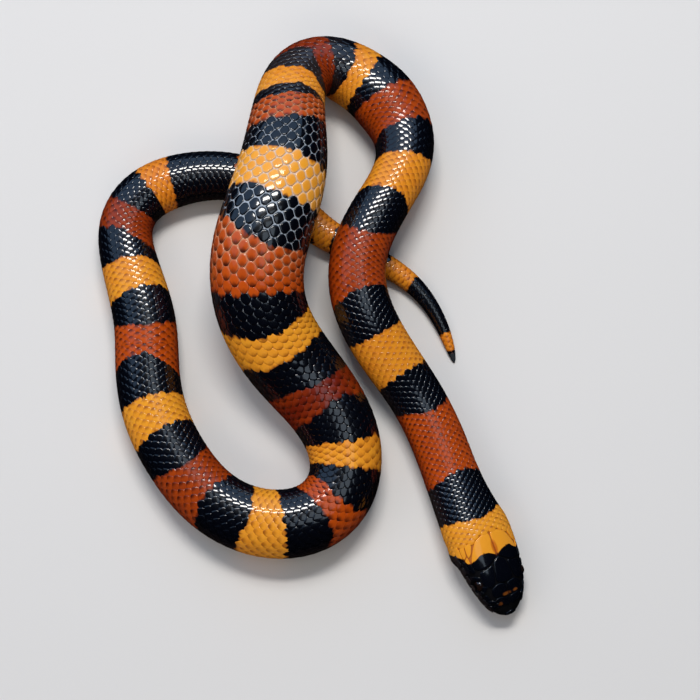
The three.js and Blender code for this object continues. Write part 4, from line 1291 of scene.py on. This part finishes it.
class HeadPlates:
    """The shields of the head, each a thin plate with a soft rim.

    Outlines are places in front of the joint with, on crown and chin, the distance from the middle,
    on cheek, lips and snout the distance from the line of the lips, and on the temple the angle.
    """

    CROWN = {
        "parietal": ((1.6, 0.05), (1.55, 1.1), (2.0, 2.2), (3.1, 2.85), (4.1, 3.3), (5.0, 3.35), (5.6, 2.95),
                     (5.68, 1.92), (5.28, 0.98), (4.6, 0.05)),
        "brow": ((5.78, 1.96), (5.5, 1.03), (7.72, 1.38), (8.2, 2.1), (7.7, 2.72), (7.1, 2.95), (6.5, 2.95),
                 (5.85, 2.85)),
        "prefrontal": ((8.13, 0.05), (7.93, 1.33), (8.4, 2.15), (9.35, 2.1), (9.7, 0.05)),
        "internasal": ((9.8, 0.05), (9.47, 1.95), (10.35, 1.55), (10.9, 0.05)),
    }
    FRONTAL = ((4.7, 0.0), (5.35, 0.87), (7.6, 1.29), (8.0, 0.6), (8.03, 0.0))
    UPPER_LIP = ((10.85, 9.95, 8.9, 7.75, 6.6, 5.4, 4.2, 3.1), (0.95, 1.0, 0.95, 0.45, 0.45, 1.0, 1.15, 1.15))
    LOWER_LIP = (10.9, 9.7, 8.4, 7.1, 5.8, 4.5, 3.4)
    LOREAL = ((8.75, 1.02), (8.65, 1.62), (9.45, 1.5), (9.5, 1.05))
    TEMPLE = {
        "front_upper": ((5.65, 53), (5.6, 66), (3.75, 66.5), (3.4, 55.5), (4.1, 56)),
        "front_lower": ((5.5, 68), (5.4, 80), (3.65, 80), (3.75, 68)),
        "rear_upper": ((3.25, 43.5), (3.7, 54), (2.0, 52), (1.9, 39), (2.3, 37)),
        "rear_middle": ((3.3, 56.5), (3.65, 66.5), (2.0, 66), (2.0, 53.5)),
        "rear_lower": ((3.65, 68), (3.55, 80), (1.9, 81), (1.95, 67.5)),
    }
    ARC_PER_DEGREE = 0.062
    CHIN = {
        "shield_front": ((7.3, 0.06), (7.5, 1.15), (9.4, 0.85), (9.75, 0.06)),
        "shield_rear": ((4.7, 0.25), (5.2, 1.15), (7.35, 1.2), (7.15, 0.06), (6.2, 0.06)),
    }
    MENTAL = ((10.35, 0.0), (10.9, 0.55), (11.25, 0.3), (11.3, 0.0))
    ROSTRAL = ((-0.85, 0.12), (0.85, 0.12), (0.8, 0.6), (0.0, 1.0), (-0.8, 0.6))
    SUTURE = 0.018
    RIM = 0.09
    STEP = 0.13
    EDGE = ((0.985, -0.16), (1.0, -0.02), (0.972, 0.042), (0.925, 0.064))
    THICK = 0.077
    # The sides of the head take the brown-grey of the flanks, a painted reflection.
    FLANK, FLANK_WIDTH, FLANK_SHARE = 60.0, 50.0, 0.9
    TONE = 0.3
    CUTS = (0.16, 0.22)
    INNER_RINGS, DOME = (0.84, 0.12), 0.25
    LIP_GAP, JAW_GAP, LEAN_FORE, LEAN_AFT = 0.1, 0.16, 0.1, 0.05
    JAW_DEEPEST, JAW_SHARE = 0.85, 0.7
    NOSTRIL = (10.05, 1.28)
    NOSTRIL_RING = ((1.1, 0.8), (0.2, 0.52), ((-80, 80), (100, 260)), 7)
    ORBIT_RING = ((1.0, 0.92), (0.86, 1.32), ((-28, 22), (26, 62), (118, 150), (154, 186), (190, 222)), 5)

    def __init__(self, form: Form, pattern: RingPattern, maker: Maker) -> None:
        """Keeps what the plates are made from."""
        self.form, self.pattern, self.maker = form, pattern, maker
        self.parts: list[tuple[Array, Array, Array, Faces]] = []

    @staticmethod
    def rounded(outline: Array) -> Array:
        """Outline with its corners cut round."""
        for cut in HeadPlates.CUTS:
            ahead = np.roll(outline, -1, 0)
            step = (ahead - outline) * cut
            outline = np.stack([outline + step, ahead - step], 1).reshape(-1, 2)
        return outline

    def plate(self, outline: Sequence[Sequence[float]], chart: Chart) -> None:
        """Adds one plate.

        Args:
            outline: Its corners in the chart.
            chart: Gives places and angles for points of the outline.
        """
        corners = self.rounded(np.array(outline, float))
        rim = []
        for a, b in zip(corners, np.roll(corners, -1, 0)):
            count = max(1, round(float(np.hypot(*(b - a))) / self.RIM))
            rim += [a + (b - a) * k / count for k in range(count)]
        rim = np.array(rim)
        centre = rim.mean(0)
        radius = float(np.linalg.norm(rim - centre, axis=1).max())
        inner = np.linspace(*self.INNER_RINGS, max(3, round(0.8 * radius / self.STEP)))
        rings = self.EDGE + tuple((k, self.THICK * (1.0 - self.DOME * k * k)) for k in inner)
        grid = np.concatenate([centre + (rim - centre) * share for share, _ in rings] + [centre[None]])
        n = len(rim)
        s, angle = chart(grid[:, 0], grid[:, 1])
        points = self.form.raised(s, angle, np.r_[np.repeat([r for _, r in rings], n), self.THICK])
        faces = [tuple(range(n)), *shell(len(rings), n, rear=len(rings) * n)]
        a, b, c = (points[k] for k in faces[-1])
        if np.dot(np.cross(b - a, c - a), self.form.normal(s[-1:], angle[-1:])[0]) < 0:
            faces = [tuple(reversed(f)) for f in faces]
        self.parts.append((points, s, angle, faces))

    def _crown(self, x: Array, y: Array) -> tuple[Array, Array]:
        """Chart of the crown."""
        return -x, self.form.head.crown_angle(x, y)

    def _chin(self, x: Array, y: Array) -> tuple[Array, Array]:
        """Chart of the chin."""
        return -x, self.form.head.chin_angle(x, y)

    def _snout(self, y: Array, above: Array) -> tuple[Array, Array]:
        """Chart of the front of the snout: across, and height above the lips."""
        head = self.form.head
        low, high = np.full(len(y), 9.0), np.full(len(y), head.length - 0.02)
        for _ in range(30):
            x = (low + high) / 2
            p, up = head.boxiness.at(x), above / (head.top.at(x) - head.lip.at(x))
            out = (np.abs(y) / head.half_width.at(x)) ** p + np.abs(up) ** p > 1
            low, high = np.where(out, low, x), np.where(out, x, high)
        return -low, head.cheek_angle(low, above, np.where(y < 0, -1, 1))

    def collect(self) -> None:
        """Adds all plates of the head."""
        head = self.form.head
        both = lambda half: half + tuple((x, -y) for x, y in half[-2:0:-1])
        self.plate(both(self.FRONTAL), self._crown)
        self.plate(both(self.MENTAL), self._chin)
        self.plate(self.ROSTRAL, self._snout)
        for left in (1, -1):
            for half in self.CROWN.values():
                self.plate([(x, left * y) for x, y in half], self._crown)
            for half in self.CHIN.values():
                self.plate([(x, left * y) for x, y in half], self._chin)
            cheek = lambda x, above, left=left: (-x, head.cheek_angle(x, above, left))
            jaw = lambda x, below, left=left: (-x, head.jaw_angle(x, below, left))
            self.plate(self.LOREAL, cheek)
            temple = lambda x, arc, left=left: (-x, left * arc / self.ARC_PER_DEGREE)
            for outline in self.TEMPLE.values():
                self.plate([(x, angle * self.ARC_PER_DEGREE) for x, angle in outline], temple)
            edges, tops = self.UPPER_LIP
            for i, rear in enumerate(edges[1:]):
                fore, aft = edges[i] - self.SUTURE, rear + self.SUTURE
                self.plate(((fore, self.LIP_GAP), (fore - self.LEAN_FORE, tops[i]),
                            (aft + self.LEAN_AFT, tops[i + 1]), (aft, self.LIP_GAP)), cheek)
            for i, rear in enumerate(self.LOWER_LIP[1:]):
                fore, aft = self.LOWER_LIP[i] - self.SUTURE, rear + self.SUTURE
                depth = min(self.JAW_DEEPEST, float(head.lip.at(fore) - head.chin.at(fore)) * self.JAW_SHARE)
                self.plate(((fore, self.JAW_GAP), (fore - self.LEAN_FORE, depth),
                            (aft - self.LEAN_AFT, depth), (aft, self.JAW_GAP)), jaw)
            self._ring(cheek, (head.eye[0], head.eye[2] - float(head.lip.at(head.eye[0]))), *self.ORBIT_RING)
            self._ring(cheek, self.NOSTRIL, *self.NOSTRIL_RING)

    def _ring(self, cheek: Chart, centre: tuple[float, float], stretch: tuple[float, float],
              radii: tuple[float, float], spans: Sequence[tuple[float, float]], count: int) -> None:
        """Adds plates that stand in a ring on the cheek.

        Args:
            cheek: Chart of the cheek.
            centre: Middle of the ring in the chart.
            stretch: Its width and height, as shares of a circle's.
            radii: Inner and outer radius.
            spans: Angles from and to which the plates reach.
            count: Points on each curved edge.
        """
        for start, end in spans:
            turns = np.radians(np.linspace(start, end, count))
            spots = [(r, a) for r, arc in zip(radii, (turns, turns[::-1])) for a in arc]
            self.plate([(centre[0] + stretch[0] * r * math.cos(a), centre[1] + stretch[1] * r * math.sin(a))
                        for r, a in spots], cheek)

    def build(self, material: bpy.types.Material) -> bpy.types.Object:
        """Makes the plates as one piece.

        Args:
            material: The finish of the plates.

        Returns:
            The object.
        """
        self.collect()
        points, s, angle = (np.concatenate([p[k] for p in self.parts]) for k in (0, 1, 2))
        starts = np.cumsum([0] + [len(p[0]) for p in self.parts]).tolist()
        faces = [tuple(k + start for k in f) for start, part in zip(starts, self.parts) for f in part[3]]
        zero = np.zeros(len(s))
        flank = self.FLANK_SHARE * ease((np.abs(angle) - self.FLANK) / self.FLANK_WIDTH)
        patch = Patch(points, faces, np.c_[self.pattern.shares(s, angle), zero],
                      np.c_[zero, zero + self.TONE, flank, zero], self.maker.unwrap(s, angle),
                      np.zeros((len(s), 2)))
        made = self.maker.make("head_plates", patch, material)
        return made


class Eye:
    """One eye under its clear scale."""
    """One eye under its clear scale."""

    RINGS, AROUND = 27, 40
    PUPIL, PUPIL_EDGE = 0.42, 0.08

    def __init__(self, form: Form, left: int) -> None:
        """Keeps the form and the side, 1 for left and -1 for right."""
        self.form, self.left = form, left

    def build(self, material: bpy.types.Material) -> bpy.types.Object:
        """Makes the eye.

        Args:
            material: The finish of the eye.

        Returns:
            The object.
        """
        head = self.form.head
        name = "eye_left" if self.left > 0 else "eye_right"
        t, a = np.meshgrid(np.linspace(0, math.pi, self.RINGS + 2)[1:-1],
                           np.arange(self.AROUND) * 2 * math.pi / self.AROUND, indexing="ij")
        ball = np.stack([np.sin(t) * np.cos(a), np.cos(t), np.sin(t) * np.sin(a)], -1).reshape(-1, 3)
        ball = np.r_[ball, [(0, 1, 0), (0, -1, 0)]] * head.eye_radius
        ball[:, 1] *= np.where(ball[:, 1] > 0, head.eye_bulge, 1.0)
        faces = shell(self.RINGS, self.AROUND, len(ball) - 2, len(ball) - 1)
        if self.left > 0:
            faces = [tuple(reversed(f)) for f in faces]
        local = (ball + np.array(head.eye)) * np.array([1.0, self.left, 1.0])
        made = new_object(name + "_clear", self.form.head_point(local) * MM, faces, material)
        from_middle = np.hypot(ball[:, 0], ball[:, 2]) / head.eye_radius
        carry(made, "iris", "FLOAT", "value", ease((from_middle - self.PUPIL) / self.PUPIL_EDGE))
        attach(made, "root")
        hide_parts(name)
        LOG.info("%s", made.name)
        return made


@dataclass(frozen=True)
class Lamp:
    """A flat soft light that looks at the middle of the animal."""

    name: str
    azimuth: float
    elevation: float
    distance: float
    width: float
    depth: float
    power: float
    colour: Colour = (1.0, 1.0, 1.0)
    shines: bool = True


class Studio:
    """Floor, camera and lights."""

    TARGET = Vector((0.0053255, -0.0041467, 0.0035))
    CAMERA_DISTANCE = 0.260
    CAMERA_ELEVATION = 78.0
    LENS = 102.857
    LAMPS = (
        Lamp("window", -2.0, 64.0, 0.50, 0.22, 0.05, 0.95, (1.0, 0.96, 0.90)),
        Lamp("day", -2.0, 60.0, 0.50, 0.24, 0.12, 1.0, (1.0, 0.96, 0.90), False),
        Lamp("ceiling", 90.0, 79.0, 0.50, 0.24, 0.20, 0.16, (0.70, 0.85, 1.0)),
        Lamp("sky", -22.0, 42.0, 0.60, 1.30, 0.72, 2.2, (0.38, 0.62, 1.0)),
        Lamp("room", -110.0, 38.0, 0.70, 0.50, 0.40, 0.85, (1.0, 0.90, 0.80), False),
        Lamp("front", 190.0, 42.0, 0.70, 0.50, 0.30, 0.85, (1.0, 0.92, 0.84), False),
    )
    AMBIENT = 0.07
    FLOOR_SIZE = 0.6

    def __init__(self, floor: FloorFinish) -> None:
        """Keeps the floor's finish."""
        self.floor = floor

    def build(self) -> None:
        """Makes the floor, the camera and the lights."""
        size = self.FLOOR_SIZE
        corners = np.array([(-size, -size, 0), (size, -size, 0), (size, size, 0), (-size, size, 0)])
        floor = new_object("floor", corners, [(0, 1, 2, 3)], self.floor.material())
        floor.visible_glossy = False
        lens = bpy.data.cameras.new("camera")
        lens.sensor_width, lens.lens = 36.0, self.LENS
        lens.clip_start, lens.clip_end = 0.01, 10.0
        camera = bpy.data.objects.new("camera", lens)
        up = math.radians(self.CAMERA_ELEVATION)
        place = self.TARGET + self.CAMERA_DISTANCE * Vector((0, -math.cos(up), math.sin(up)))
        self._hang(camera, place, self.TARGET - place)
        bpy.context.scene.camera = camera
        for lamp in self.LAMPS:
            self._light(lamp)
        world = bpy.data.worlds.new("room")
        world.use_nodes = True
        back = world.node_tree.nodes["Background"]
        back.inputs["Color"].default_value = (0.95, 0.97, 1.0, 1.0)
        back.inputs["Strength"].default_value = self.AMBIENT
        bpy.context.scene.world = world
        world.cycles_visibility.glossy = False
        bpy.context.scene.view_settings.view_transform = "Standard"

    def _hang(self, made: bpy.types.Object, place: Vector, look: Vector) -> None:
        """Links a camera or a lamp to the scene.

        Args:
            made: The object.
            place: Where it hangs.
            look: The direction in which it looks.
        """
        made.location = place
        made.rotation_euler = look.to_track_quat("-Z", "Y").to_euler()
        bpy.context.scene.collection.objects.link(made)

    def _light(self, lamp: Lamp) -> None:
        """Makes one lamp. Azimuth 0 is beyond the animal, seen from the camera, and 90 to its right."""
        data = bpy.data.lights.new(lamp.name, "AREA")
        data.shape, data.size, data.size_y = "RECTANGLE", lamp.width, lamp.depth
        data.energy, data.color = lamp.power, lamp.colour
        made = bpy.data.objects.new(lamp.name, data)
        made.visible_glossy = lamp.shines
        a, e = math.radians(lamp.azimuth), math.radians(lamp.elevation)
        toward = Vector((math.sin(a) * math.cos(e), math.cos(a) * math.cos(e), math.sin(e)))
        self._hang(made, self.TARGET + lamp.distance * toward, -toward)


def main() -> None:
    """Builds the animal and the room round it."""
    logging.basicConfig(level=logging.INFO, format="%(name)s %(message)s")
    form, pattern = Form(), RingPattern()
    maker = Maker(form)
    scales = ScaleFinish().material()
    Skin(form, pattern, maker).build(SkinFinish().material())
    Coat(form, pattern, maker, PlateTree()).build(scales)
    HeadPlates(form, pattern, maker).build(scales)
    eye = EyeFinish().material()
    for left in (1, -1):
        Eye(form, left).build(eye)
    Studio(FloorFinish()).build()


if __name__ == "__main__":
    main()
